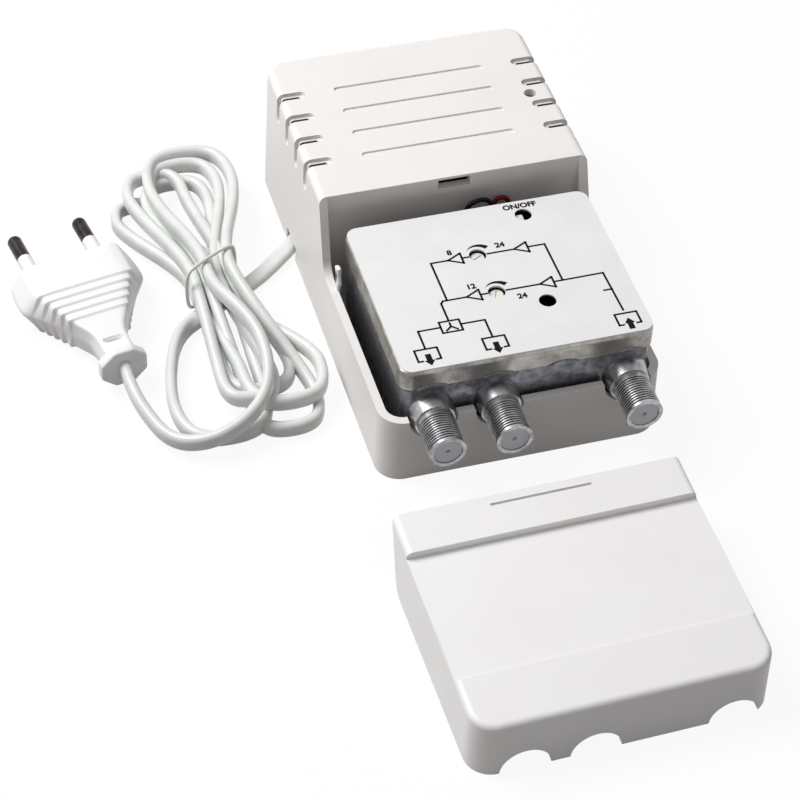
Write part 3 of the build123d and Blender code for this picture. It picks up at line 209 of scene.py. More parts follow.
@dataclass(frozen=True)
class Finish:
    """A real material: its colours, its gloss and the size of the marks on its surface, and where shade is
    painted on it.

    Args:
        slot: The record's material slot that it covers, if any.
        colour: Main colour.
        shade: Colour of the faint patches in it.
        patch_share: How strongly the patches show.
        patch_mm: Size of the patches.
        roughness: Middle roughness.
        roughness_spread: How far the roughness varies with the patches.
        metallic: One for a metal.
        grain_mm: Size of the surface grain.
        grain_depth_mm: Depth of the surface grain.
        coat: Strength of a clear coat.
        stretch: Stretch of the patches along X, Y and Z.
        clear: Share of light that passes.
        sheen_depth: Strength of soft light inside, for thick translucent plastic.
        specular: Strength of the plain surface gloss.
        dark: Colour of the painted shade in the places that the object's own form keeps out of light.
        painted_shade_places: What finds those places.
    """

    slot: str
    colour: str
    shade: str
    patch_share: float = 0.5
    patch_mm: float = 12.0
    roughness: float = 0.4
    roughness_spread: float = 0.05
    metallic: float = 0.0
    grain_mm: float = 0.4
    grain_depth_mm: float = 0.005
    coat: float = 0.0
    stretch: Point = (1.0, 1.0, 1.0)
    clear: float = 0.0
    sheen_depth: float = 0.0
    specular: float = 0.5
    dark: str = "#171514"
    painted_shade_places: Callable | None = None

    def build(self, name: str) -> bpy.types.Material:
        """Make the Blender material of this name from these values."""
        material = bpy.data.materials.new(name)
        material.use_nodes = True
        tree = material.node_tree
        shader = tree.nodes["Principled BSDF"]
        for socket, value in (("Metallic", self.metallic), ("Coat Weight", self.coat),
                              ("Specular IOR Level", self.specular), ("Transmission Weight", self.clear),
                              ("Subsurface Weight", self.sheen_depth), ("Subsurface Scale", 2 * MM)):
            shader.inputs[socket].default_value = value
        place = add_node(tree, "TexCoord").outputs["Object"]
        scaled = add_node(tree, "Mapping", {"Vector": place, "Scale": self.stretch}).outputs["Vector"]
        links = {"Vector": scaled, "Scale": 1 / (self.patch_mm * MM), "Detail": 4.0, "Roughness": 0.6}
        patches = add_node(tree, "TexNoise", links).outputs["Fac"]
        spread = map_range(tree, patches, PATCH_NOISE, (0.0, self.patch_share))
        mixes = [(spread, linear_colour(self.shade))]
        # Painted shade: the places that the object's own form keeps out of light take the dark colour
        if self.painted_shade_places:
            mixes.append((self.painted_shade_places(tree, place), linear_colour(self.dark)))
        shown = linear_colour(self.colour)
        for share, colour in mixes:
            links = {"Factor": share, "A": shown, "B": colour}
            shown = add_node(tree, "Mix", links, data_type="RGBA").outputs[2]
        tree.links.new(shown, shader.inputs["Base Color"])
        low, high = self.roughness - self.roughness_spread, self.roughness + self.roughness_spread
        gloss = map_range(tree, patches, GLOSS_NOISE, (low, high))
        tree.links.new(gloss, shader.inputs["Roughness"])
        links = {"Vector": place, "Scale": 1 / (self.grain_mm * MM), "Detail": 3.0}
        grain = add_node(tree, "TexNoise", links).outputs["Fac"]
        links = {"Height": grain, "Strength": 1.0, "Distance": self.grain_depth_mm * MM}
        bump = add_node(tree, "Bump", links)
        tree.links.new(bump.outputs["Normal"], shader.inputs["Normal"])
        return material


class Material(Enum):
    """Every finish of the object."""

    # Moulded ABS of the housing: warm light grey, fine spark-eroded grain that softens highlights, with
    # painted shade in the vent slits
    HOUSING_ABS = Finish("housing_plastic", "#E9E6E3", "#E3DFDB", 0.5, 30.0, 0.42, 0.04, grain_mm=0.35,
        grain_depth_mm=0.006, painted_shade_places=vent_painted_shade)
    # The same ABS on the cover, a little whiter
    COVER_ABS = Finish("cover_plastic", "#EFEEED", "#EAE8E6", 0.5, 30.0, 0.42, 0.04, grain_mm=0.35,
        grain_depth_mm=0.006)
    # Moulded polystyrene of the rear plate, a little duller
    PLATE_POLYSTYRENE = Finish("plate_plastic", "#D8D4CE", "#CFCAC3", 0.5, 25.0, 0.5, 0.05)
    # Die-cast zinc: grey, blotchy and pitted from the mould, with a dull sheen
    CAST_ZINC = Finish("die_cast", "#85858A", "#4E4F53", 0.9, 2.6, 0.42, 0.12, 1.0, 0.5, 0.03)
    # The same zinc, turned and threaded: crests brighter partly from the turning and partly as painted
    # highlight, with painted shade in the roots
    THREADED_ZINC = Finish("", "#B4B4B6", "#77787B", 0.8, 2.2, 0.3, 0.1, 1.0, 0.4, 0.012,
        dark="#141416", painted_shade_places=thread_root_painted_shade)
    # Tinned sheet steel: grey and slightly warm, clouded where it was handled
    TINPLATE = Finish("tinplate", "#ACA8A3", "#76726E", 0.9, 5.0, 0.34, 0.1, 1.0, 1.5, 0.006)
    # Satin printed aluminium label: pale silver grey, very even
    LABEL_ALUMINIUM = Finish("label_print", "#E6E6E6", "#DEDEDF", 0.6, 9.0, 0.42, 0.04, 0.1, 0.25, 0.002)
    # Screen printing ink: flat black with a faint film edge
    PRINT_INK = Finish("", "#0B0B0C", "#121213", 0.5, 2.0, 0.7, 0.05, specular=0.1)
    # Zinc plated screws, slightly cloudy
    SCREW_STEEL = Finish("screw_steel", "#B9BABD", "#94959A", 0.7, 2.0, 0.3, 0.08, 1.0, 0.3, 0.003)
    # Plated spring brass of the contacts and clips
    SPRING_BRASS = Finish("contact_brass", "#D9BE84", "#B89A5E", 0.6, 2.0, 0.3, 0.06, 1.0)
    # Moulded polyethylene in the socket mouths: milky and soft
    INSULATOR_POLYETHYLENE = Finish("insulator_white", "#F0F0F5", "#E4E4EA", 0.5, 3.0, 0.45, 0.04,
        sheen_depth=0.2)
    # Solder mask over glass laminate: green and glossy
    MASKED_LAMINATE = Finish("board_green", "#1F5A33", "#184A29", 0.6, 4.0, 0.3, 0.05, coat=0.3)
    # Bare paper laminate: tan with cloudy fibres
    PAPER_LAMINATE = Finish("board_tan", "#A98350", "#94703F", 0.8, 5.0, 0.5, 0.06, stretch=(1.0, 3.0, 1.0))
    # Black moulded nylon
    BLACK_NYLON = Finish("part_black", "#232324", "#2B2B2C", 0.5, 4.0, 0.45, 0.05)
    # Off-white acetal of the rotors and the slider, waxy
    WHITE_ACETAL = Finish("trimmer_white", "#E6E4DC", "#DAD7CD", 0.5, 3.0, 0.35, 0.04, sheen_depth=0.1)
    # Tinted clear lamp resin
    LAMP_RESIN = Finish("lamp_red", "#8A1A12", "#731510", 0.4, 2.0, 0.12, 0.02, clear=0.4)
    # Enamelled copper wire
    ENAMELLED_COPPER = Finish("copper_wire", "#B4693C", "#8F4F2B", 0.6, 1.0, 0.25, 0.05, 0.9)
    # Sintered ferrite: dark and dull
    FERRITE = Finish("ferrite_grey", "#4A4A4D", "#3A3A3D", 0.7, 1.5, 0.6, 0.06, grain_mm=0.2,
        grain_depth_mm=0.01)
    # Drawn aluminium can, brushed around
    DRAWN_ALUMINIUM = Finish("can_aluminium", "#C9CBCE", "#B1B3B7", 0.6, 2.0, 0.3, 0.06, 1.0,
        stretch=(1.0, 1.0, 8.0))
    # Lacquered laminations: thin dark sheets stacked along Z
    LACQUERED_STEEL = Finish("core_steel", "#5C5E63", "#3C3E42", 0.9, 6.0, 0.45, 0.08, 0.7,
        stretch=(1.0, 1.0, 12.0))
    # Yellow polyester tape around the windings
    POLYESTER_TAPE = Finish("winding_tape", "#D5B443", "#C39F33", 0.5, 4.0, 0.3, 0.05, coat=0.2)
    # Shrunk sleeve of the reservoir capacitor
    SHRUNK_SLEEVE = Finish("sleeve_blue", "#1C2550", "#161D42", 0.5, 4.0, 0.3, 0.05)
    # Clear glass of the fuse
    FUSE_GLASS = Finish("fuse_glass", "#DCE4E4", "#D2DCDC", 0.3, 4.0, 0.08, 0.02, clear=0.8)
    # Extruded vinyl insulation: dull on the low voltage wires, glossy on the mains wires
    BLACK_VINYL = Finish("insulation_black", "#050506", "#09090A", 0.5, 3.0, 0.6, 0.04, specular=0.12)
    RED_VINYL = Finish("insulation_red", "#6A0E18", "#560B13", 0.5, 3.0, 0.6, 0.04, specular=0.15)
    BLUE_VINYL = Finish("insulation_blue", "#23528F", "#1C457B", 0.5, 3.0, 0.3, 0.04)
    # Flexible vinyl sheath of the cord: cool white, soft gloss, slightly wavy from the extruder
    SHEATH_VINYL = Finish("cord_white", "#DEE0DD", "#CCCECD", 0.5, 8.0, 0.34, 0.04, grain_mm=1.4,
        grain_depth_mm=0.01)
    # Moulded vinyl of the plug: the same white, a little denser
    PLUG_VINYL = Finish("plug_white", "#EDEDEC", "#E6E6E4", 0.5, 10.0, 0.4, 0.04, grain_mm=0.5,
        grain_depth_mm=0.008)
    # Nickel plate on the pins: dark and glossy, unevenly worn
    DARK_NICKEL = Finish("pin_nickel", "#4A4543", "#242120", 0.9, 2.6, 0.26, 0.08, 1.0)
    # Coated tie wire
    TIE_VINYL = Finish("tie_white", "#DADAD2", "#CECEC4", 0.5, 3.0, 0.4, 0.04)


SLOT_FINISHES = {material.value.slot: material for material in Material if material.value.slot}
NODE_FINISHES = {"socket_snouts": Material.THREADED_ZINC}


@dataclass
class Palette:
    """Builds each finish once and hands it out."""

    built: dict[Material, bpy.types.Material] = field(default_factory=dict)

    def get(self, material: Material) -> bpy.types.Material:
        """Return the Blender material of a finish."""
        if material not in self.built:
            self.built[material] = material.value.build(material.name.lower())
        return self.built[material]

    def dress_nodes(self, frame: dict) -> None:
        """Give every CAD node its own finish, or its slot's.

        Args:
            frame: The loaded frame.
        """
        for part in frame["record"]["subparts"]:
            finish = self.get(NODE_FINISHES.get(part["node"], SLOT_FINISHES[part["material_slot"]]))
            node = frame["nodes"][part["node"]]
            node.data.materials.clear()
            node.data.materials.append(finish)


def put(name: str, data: bpy.types.ID) -> Object:
    """Put an object in the scene.

    Args:
        name: Its name.
        data: Its mesh, curve, text, lamp or camera.

    Returns:
        The object.
    """
    made = bpy.data.objects.new(name, data)
    bpy.context.scene.collection.objects.link(made)
    return made


def put_shape(name: str, shape: BMesh) -> Object:
    """Put a bmesh in the scene.

    Args:
        name: Its name.
        shape: The shape in metres; it is freed.

    Returns:
        The object.
    """
    mesh = bpy.data.meshes.new(name)
    shape.to_mesh(mesh)
    shape.free()
    return put(name, mesh)


def take_shape(made: Object) -> BMesh:
    """Take an object's finished shape, and remove the object."""
    done = made.evaluated_get(bpy.context.evaluated_depsgraph_get())
    shape = bmesh.new()
    shape.from_mesh(done.to_mesh())
    done.to_mesh_clear()
    bpy.data.objects.remove(made)
    return shape


def nurbs_curve(name: str, points: Iterable[Point], radius: float) -> Curve:
    """Make a round tube along a spline that starts and ends on its end points.

    Args:
        name: Name of the curve.
        points: Control points, in millimetres.
        radius: Radius of the tube, in millimetres.

    Returns:
        The curve, in metres.
    """
    curve = bpy.data.curves.new(name, "CURVE")
    curve.dimensions = "3D"
    curve.bevel_depth = radius * MM
    curve.bevel_resolution = 3
    spline = curve.splines.new("NURBS")
    route = list(points)
    spline.points.add(len(route) - 1)
    for target, point in zip(spline.points, route):
        target.co = (*(value * MM for value in point), 1.0)
    spline.order_u = 3
    spline.use_endpoint_u = True
    spline.resolution_u = 8
    return curve


def cut_out(name: str, shape: BMesh, tool: BMesh, levels: int = 0) -> BMesh:
    """Cut one shape out of another.

    Args:
        name: Name of the piece that is made.
        shape: The shape that is cut, in metres; it is freed.
        tool: The shape that cuts, in metres; it is freed.
        levels: Levels of a subdivision surface that comes first.

    Returns:
        What is left of the shape.
    """
    blank, cutter = put_shape(name + "_blank", shape), put_shape(name + "_cutter", tool)
    if levels:
        smooth = blank.modifiers.new("smooth", "SUBSURF")
        smooth.levels = smooth.render_levels = levels
    change = blank.modifiers.new("cut", "BOOLEAN")
    change.operation = "DIFFERENCE"
    change.object = cutter
    change.solver = "EXACT"
    left = take_shape(blank)
    bpy.data.objects.remove(cutter)
    return left


def placed(middle: Iterable[float], size: Iterable[float] = (1.0, 1.0, 1.0), turn: float = 0.0,
           axis: str = "Z") -> Matrix:
    """Work out the matrix that sizes a shape, turns it around an axis and moves it, in that order."""
    return Matrix.Translation(middle) @ Matrix.Rotation(turn, 4, axis) @ Matrix.Diagonal((*size, 1.0))


def add_box(shape: BMesh, place: Matrix) -> None:
    """Add a box to a shape: a unit cube in its place."""
    bmesh.ops.create_cube(shape, size=1.0, matrix=place)


def add_prism(shape: BMesh, place: Matrix, sides: int, depth: float, low: float = 1.0,
              top: float | None = None) -> list[BMVert]:
    """Add a prism or a cut cone to a shape.

    Args:
        shape: The shape.
        place: Its place.
        sides: Number of sides.
        depth: Its height.
        low: Radius at its low end.
        top: Radius at its top, if it differs.

    Returns:
        Its vertices.
    """
    return bmesh.ops.create_cone(shape, cap_ends=True, segments=sides, radius1=low, depth=depth,
                                 radius2=low if top is None else top, matrix=place)["verts"]


def round_edges(shape: BMesh, reach: float, segments: int = 2) -> None:
    """Round all the edges of a shape.

    Args:
        shape: The shape.
        reach: How far the rounding reaches from an edge.
        segments: Its number of steps.
    """
    bmesh.ops.bevel(shape, geom=list(shape.edges), offset=reach, offset_type="OFFSET", segments=segments,
                    profile=0.5, affect="EDGES", material=-1, clamp_overlap=True)


def clear_disc(shape: BMesh, middle: Vector, radius: float) -> None:
    """Delete the faces of a flat print that lie over a round hole.

    Args:
        shape: The print.
        middle: The hole's middle.
        radius: The hole's radius.
    """
    for turn in range(8):
        angle = turn * math.pi / 4
        out = Vector((math.cos(angle), math.sin(angle), 0))
        bmesh.ops.bisect_plane(shape, geom=[*shape.verts, *shape.edges, *shape.faces],
                               plane_co=middle.to_3d() + out * radius, plane_no=out)
    inside = [face for face in shape.faces
              if (face.calc_center_median().to_2d() - middle.to_2d()).length < radius]
    bmesh.ops.delete(shape, geom=inside, context="FACES")


@dataclass
class Part:
    """A sub-assembly that is added to the CAD model.

    Args:
        palette: The finishes.
    """

    palette: Palette

    def add_mesh(self, name: str, shape: BMesh, material: Material, body: str = "housing",
                 slot: str = "", smooth: bool = True) -> Object:
        """Turn a bmesh into a piece that rides on a body.

        Args:
            name: Name of the piece.
            shape: The finished shape in metres; it is freed.
            material: Its finish.
            body: The CAD body that it moves with.
            slot: The record's material slot, if it isn't the finish's own; not used.
            smooth: Whether its faces are shaded smooth.

        Returns:
            The piece.
        """
        for face in shape.faces:
            face.smooth = smooth
        piece = put_shape(name, shape)
        piece.data.materials.append(self.palette.get(material))
        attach(piece, body)
        LOG.info("piece %s has %d faces", name, len(piece.data.polygons))
        return piece

    def add_curve(self, curve: Curve, material: Material, *nodes: str) -> Object:
        """Put a curve in the scene in place of CAD nodes of the housing.

        Args:
            curve: The curve, in metres.
            material: Its finish.
            *nodes: The nodes that it replaces.

        Returns:
            The piece.
        """
        curve.materials.append(self.palette.get(material))
        piece = put(curve.name, curve)
        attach(piece, "housing")
        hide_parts(*nodes)
        LOG.info("piece %s follows %d points", piece.name, len(curve.splines[0].points))
        return piece


@dataclass(frozen=True)
class End:
    """One end of a turn of the hank: a round cap.

    Args:
        middle: Its middle along X.
        half: Half its width.
        tip: How far it reaches along Y.
        height: Height of its line.
    """

    middle: float
    half: float
    tip: float
    height: float

    def cap(self, outward: float) -> list[Point]:
        """Control points around the cap.

        Args:
            outward: Minus one for a cap towards the front, one for a cap towards the back.

        Returns:
            Six points, from the left for a front cap and from the right for a back cap.
        """
        x, half, tip, z = self.middle, self.half, self.tip, self.height
        side = outward * half
        near = CAP_SHOULDER * side
        shoulder = tip - outward * CAP_SHOULDER * half
        foot = tip - outward * CAP_FOOT * half
        return [(x + side, foot, z), (x + side, shoulder, z), (x + near, tip, z), (x - near, tip, z),
                (x - side, shoulder, z), (x - side, foot, z)]


@dataclass(frozen=True)
class Turn:
    """One loose turn of the hank, with its places in the tied waist.

    Args:
        front: Its front end.
        back: Its back end.
        rising: Column and row of the strand that runs to the back.
        falling: Column and row of the strand that runs to the front.
    """

    front: End
    back: End
    rising: tuple[int, int]
    falling: tuple[int, int]


@dataclass
class Cord(Part):
    """The mains cord: a flat twin sheath from the housing, through a tied hank, to the plug.

    Places are in millimetres.
    """

    lead: tuple[Point, ...] = (
        (-33.1, 32.4, 1.9), (-43.9, 21.6, 1.7), (-55.2, 13.6, 1.6), (-66.4, 7.0, 2.1),
        (-76.6, -0.4, 2.7))
    turns: tuple[Turn, ...] = (
        Turn(End(-70.4, 11.8, -39.5, 2.4), End(-76.4, 6.0, 54.0, 2.4), (3, 0), (0, 0)),
        Turn(End(-53.2, 10.2, -35.0, 6.4), End(-65.0, 8.6, 58.0, 5.0), (2, 0), (1, 0)),
        Turn(End(-58.6, 8.6, -26.5, 3.6), End(-70.4, 7.6, 60.0, 7.0), (3, 1), (0, 1)),
        Turn(End(-62.5, 6.6, -31.5, 6.4), End(-62.4, 9.4, 61.5, 8.0), (2, 1), (1, 1)),
        Turn(End(-54.4, 8.6, -40.5, 2.4), End(-60.5, 11.6, 64.5, 9.6), (3, 2), (1, 2)),
    )
    tail: tuple[Point, ...] = (
        (-61.6, -4.0, 15.0), (-57.6, -14.0, 14.4), (-56.8, -25.0, 12.0), (-60.0, -35.0, 10.0),
        (-68.4, -41.6, 7.6), (-78.0, -42.8, 5.0), (-86.2, -38.0, 3.2), (-90.6, -27.0, 4.8),
        (-92.3, -19.0, 6.6), (-92.3, -13.0, 6.85))
    waist_columns: tuple[float, ...] = (-68.3, -65.1, -61.9, -58.7)
    waist_rows: tuple[float, ...] = (5.6, 9.8, 14.0)
    waist_front: float = 5.0
    waist_back: float = 19.0
    flat_count: int = 4
    thickness: float = 3.0
    width: float = 4.8
    length: float = 1.22

    def waist(self, place: tuple[int, int], ends: Place) -> list[Point]:
        """Control points of a strand through the waist.

        Args:
            place: Its column and row.
            ends: Where along Y it enters and leaves.

        Returns:
            Two points.
        """
        column, row = place
        return [(self.waist_columns[column], y, self.waist_rows[row]) for y in ends]

    def hank(self) -> list[Point]:
        """Control points of all the turns."""
        points = []
        for turn in self.turns:
            points += turn.front.cap(-1)
            points += self.waist(turn.rising, (self.waist_front, self.waist_back))
            points += turn.back.cap(1)
            points += self.waist(turn.falling, (self.waist_back, self.waist_front))
        return points

    def build(self, on_cord: list[Object]) -> None:
        """Args:
            on_cord: The plug's pieces and the tie; not used.
        """
        route = [*self.lead, *self.hank(), *self.tail]
        curve = nurbs_curve("mains_cord", route, self.thickness / 2)
        curve.extrude = (self.width - self.thickness) / 2 * MM
        curve.twist_mode = "Z_UP"
        for point in curve.splines[0].points[:self.flat_count]:
            point.tilt = math.pi / 2
        cord = self.add_curve(curve, Material.SHEATH_VINYL, "cord_lead", "cord_hank", "cord_tail")


@dataclass
class Wires(Part):
    """The insulated wires inside: two to the module and two from the clamp to the supply's board."""

    black: tuple[Point, ...] = (
        (3.6, 14.0, 7.8), (3.6, 14.0, 13.0), (3.0, 8.6, 17.0), (1.6, -0.4, 18.0), (1.6, -1.2, 27.0),
        (3.2, -1.2, 33.2), (9.4, -1.2, 33.6), (12.0, -1.0, 23.0), (12.0, -6.0, 23.0))
    red: tuple[Point, ...] = (
        (7.4, 14.0, 7.8), (7.4, 14.0, 13.0), (7.6, 8.6, 16.6), (8.4, 0.6, 17.4), (9.6, 0.9, 25.0),
        (11.2, 0.9, 31.4), (15.2, 0.9, 30.8), (16.6, 0.2, 21.5), (16.6, -6.0, 21.5))
    mains_near: tuple[Point, ...] = (
        (-24.98, 38.54, 9.2), (-23.71, 39.81, 9.2), (-20.6, 41.2, 10.9), (-19.6, 41.61, 10.2),
        (-19.6, 41.61, 7.8))
    mains_far: tuple[Point, ...] = (
        (-26.96, 40.52, 9.2), (-25.69, 41.79, 9.2), (-20.6, 43.2, 10.9), (-19.6, 43.59, 10.2),
        (-19.6, 43.59, 7.8))
    radius: float = 0.65
    mains_radius: float = 0.9

    def build(self) -> None:
        """Make the four wires in place of their CAD tubes."""
        blue = Material.BLUE_VINYL
        rows = (("module_wire_black", self.black, self.radius, Material.BLACK_VINYL, "black_wire"),
                ("module_wire_red", self.red, self.radius, Material.RED_VINYL, "red_wire"),
                ("mains_wire_near", self.mains_near, self.mains_radius, blue, "mains_wires"),
                ("mains_wire_far", self.mains_far, self.mains_radius, blue, "mains_wires"))
        for name, route, radius, material, node in rows:
            curve = nurbs_curve(name, route, radius)
            curve.use_fill_caps = True
            self.add_curve(curve, material, node)


@dataclass
class HankTie(Part):
    """Coated wire around the hank's waist."""

    middle: Point = (-63.6, 12.4, 9.8)
    half_reach: float = 8.7
    half_rise: float = 7.3
    slant: float = 0.52
    corner_share: float = 0.72
    radius: float = 0.5

    def build(self) -> Object:
        """Make the ring that holds the strands, and return it."""
        share = self.corner_share
        ring = ((1, -share), (1, share), (share, 1), (-share, 1), (-1, share), (-1, -share), (-share, -1),
                (share, -1))
        x, y, z = self.middle
        across = (math.cos(self.slant), math.sin(self.slant))
        route = [(x + u * self.half_reach * across[0], y + u * self.half_reach * across[1],
                  z + v * self.half_rise) for u, v in ring]
        curve = nurbs_curve("hank_tie_wire", route, self.radius)
        curve.splines[0].use_endpoint_u = False
        curve.splines[0].use_cyclic_u = True
        return self.add_curve(curve, Material.TIE_VINYL, "hank_tie")


@dataclass
class Plug(Part):
    """The flat two-pin plug: a moulded body with stepped grips, a neck and a collar.

    Its own frame has the origin in the middle of the pin face, Y along the pins and Z up.
    """

    face: Point = (-99.28, 26.18, 6.85)
    turn: float = 10.1
    width: float = 35.3
    flat_width: float = 26.1
    thickness: float = 13.7
    head: float = 10.0
    taper: float = 20.0
    neck: float = 6.6
    neck_width: float = 9.6
    neck_thickness: float = 8.4
    step_count: int = 5
    step_start: float = 12.0
    step_pitch: float = 2.5
    step_run: float = 0.6
    step_drop: float = 0.9
    step_narrow: float = 2.2
    ridge_crease: float = 0.82
    end_crease: float = 0.7
    step_crease: float = 0.6
    face_inset: float = 1.6
    taper_power: float = 1.45
    neck_shares: Place = (0.88, 1.0)
    neck_flat: float = 0.8
    neck_flare: float = 1.6
    neck_swell: float = 2.0
    collar_spread: float = 1.08
    collar_length: float = 3.2
    collar_width: float = 12.6
    collar_height: float = 11.4
    edge: float = 0.55
    recess_y: float = -32.4
    recess_half: float = 2.9
    recess_depth: float = 1.3

    def stations(self) -> list[tuple[float, float, float, float, float]]:
        """Sections of the body from the face to the neck: place, width, flat width, thickness and crease."""
        neck = -self.head - self.taper
        rows = [(0.0, self.width - self.face_inset, self.flat_width, self.thickness, self.end_crease),
                (-self.head * 0.5, self.width, self.flat_width, self.thickness, 0.0),
                (-self.head, self.width, self.flat_width, self.thickness, 0.0)]
        for step in range(self.step_count):
            for late, drop in ((0.0, step), (self.step_run, step + 1)):
                place = -self.step_start - self.step_pitch * step - late
                share = (-place - self.head) / self.taper
                rows.append((place, self.side_width(share), self.flat_width - self.step_narrow * drop,
                             self.thickness - self.step_drop * drop, self.step_crease))
        for share in self.neck_shares:
            flat = self.neck_width * (self.neck_flat + self.neck_flare * (1 - share))
            rows.append((-self.head - self.taper * share, self.side_width(share), flat,
                         self.neck_thickness + self.neck_swell * (1 - share), 0.0))
        rows.append((neck - self.neck, self.neck_width, self.neck_width * self.neck_flat,
                     self.neck_thickness, self.end_crease))
        return rows

    def side_width(self, share: float) -> float:
        """Width over the side ridges, which run in a hollow curve from the head to the neck.

        Args:
            share: How far along the taper, from zero to one.

        Returns:
            The width.
        """
        left = max(0.0, 1 - share)
        return self.neck_width + (self.width - self.neck_width) * left ** self.taper_power

    def body(self) -> BMesh:
        """Make the body in its own frame, in millimetres, with creases for a subdivision surface."""
        shape = bmesh.new()
        crease = shape.edges.layers.float.new("crease_edge")
        rings = []
        for y, width, flat, thick, sharpness in self.stations():
            made = bmesh.ops.create_circle(shape, segments=6, radius=1.0)["verts"]
            half = thick / 2
            corners = [(width / 2, 0), (flat / 2, half), (-flat / 2, half),
                       (-width / 2, 0), (-flat / 2, -half), (flat / 2, -half)]
            for vert, (x, z) in zip(made, corners):
                vert.co = (x, y, z)
            rings.append([edge for edge in shape.edges if all(vert in made for vert in edge.verts)])
            for edge in rings[-1]:
                edge[crease] = sharpness
        for near, far in zip(rings, rings[1:]):
            for edge in bmesh.ops.bridge_loops(shape, edges=near + far)["edges"]:
                edge[crease] = self.ridge_crease
        for ring in (rings[0], rings[-1]):
            bmesh.ops.contextual_create(shape, geom=ring)
        bmesh.ops.recalc_face_normals(shape, faces=shape.faces)
        return shape

    def collar(self) -> BMesh:
        """Make the eight-sided collar behind the neck, in the plug's own frame, in millimetres."""
        shape = bmesh.new()
        back = -self.head - self.taper - self.neck
        size = (self.collar_width / 2, 1.0, self.collar_height / 2)
        place = placed((0, back - self.collar_length / 2, 0), size)
        place = place @ Matrix.Rotation(math.pi / 2, 4, "X") @ Matrix.Rotation(math.pi / 8, 4, "Z")
        add_prism(shape, place, 8, self.collar_length, self.collar_spread)
        round_edges(shape, self.edge)
        return shape

    def recess(self) -> BMesh:
        """Make the oval that is sunk into the neck's top, in the plug's own frame, in millimetres."""
        shape = bmesh.new()
        size = (self.recess_half, 1.0, self.recess_depth)
        add_prism(shape, placed((0, self.recess_y, self.neck_thickness / 2), size), 24, 2.0)
        return shape

    def build(self) -> list[Object]:
        """Make the plug's moulded pieces, and return them."""
        own = Matrix.Translation([value * MM for value in self.face]) @ Matrix.Rotation(
            math.radians(self.turn), 4, "Z") @ TO_METRES
        grip, collar, recess = self.body(), self.collar(), self.recess()
        for shape in (grip, collar, recess):
            shape.transform(own)
        grip = cut_out("plug_grip", grip, recess, levels=3)
        pieces = []
        for name, shape in (("plug_grip", grip), ("plug_collar", collar)):
            pieces.append(self.add_mesh(name, shape, Material.PLUG_VINYL))
            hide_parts("plug_body")
        return pieces


@dataclass
class CastFlanges(Part):
    """Round flats of the tub's casting over its four socket places, where they overlap the lid's skirt."""

    middles: tuple[float, ...] = (-24.1, -6.9, 10.1, 27.1)
    radius: float = 9.7
    back_y: float = -58.9
    front_y: float = -59.75
    sides: Place = (-31.2, 33.2)
    low: float = 28.1
    edge: float = 0.3

    def build(self) -> None:
        """Make the flats in one piece, with slightly tapered rims."""
        shape = bmesh.new()
        depth = self.back_y - self.front_y
        for middle in self.middles:
            middle_y = (self.back_y + self.front_y) / 2
            place = placed((middle, middle_y, SOCKET_HEIGHT), turn=math.pi / 2, axis="X")
            made = add_prism(shape, place, 64, depth, self.radius, self.radius - self.edge)
            planes = (((self.sides[0], 0, 0), (-1, 0, 0)), ((self.sides[1], 0, 0), (1, 0, 0)),
                      ((0, 0, self.low), (0, 0, -1)))
            for side, out in planes:
                own = [vert for vert in made if vert.is_valid]
                near = dict.fromkeys(face for vert in own for face in vert.link_faces)
                edges = dict.fromkeys(edge for face in near for edge in face.edges)
                cut = bmesh.ops.bisect_plane(shape, geom=[*own, *edges, *near], plane_co=side, plane_no=out,
                                             clear_outer=True)["geom_cut"]
                kept = dict.fromkeys([*own, *(item for item in cut if isinstance(item, BMVert))])
                made = [vert for vert in kept if vert.is_valid]
                open_edges = [item for item in cut if isinstance(item, BMEdge)]
                if open_edges:
                    bmesh.ops.contextual_create(shape, geom=open_edges)
        bmesh.ops.recalc_face_normals(shape, faces=shape.faces)
        shape.transform(TO_METRES)
        self.add_mesh("cast_flanges", shape, Material.CAST_ZINC, smooth=False)


@dataclass
class SnapNib(Part):
    """White moulded catch on the inside of the tray's left wall."""

    wall_x: float = -35.3
    middle: Place = (-10.6, 21.9)
    size: Point = (1.1, 1.6, 9.8)
    lean: float = 0.5
    arm_share: float = 0.55
    edge: float = 0.25

    def build(self) -> None:
        """Make the catch: an upright bar with a short leaning arm."""
        shape = bmesh.new()
        y, z = self.middle
        depth, width, height = self.size
        spot = Matrix.Translation((self.wall_x + depth / 2, y, z))
        for turn, scale in ((0.0, 1.0), (self.lean, self.arm_share)):
            size = Matrix.Diagonal((depth, width, height * scale, 1.0))
            rise = Matrix.Translation((0, 0, height * (1 - scale) / 2))
            add_box(shape, spot @ rise @ Matrix.Rotation(-turn, 4, "X") @ size)
        round_edges(shape, self.edge)
        shape.transform(TO_METRES)
        self.add_mesh("snap_nib", shape, Material.COVER_ABS, slot="housing_plastic")


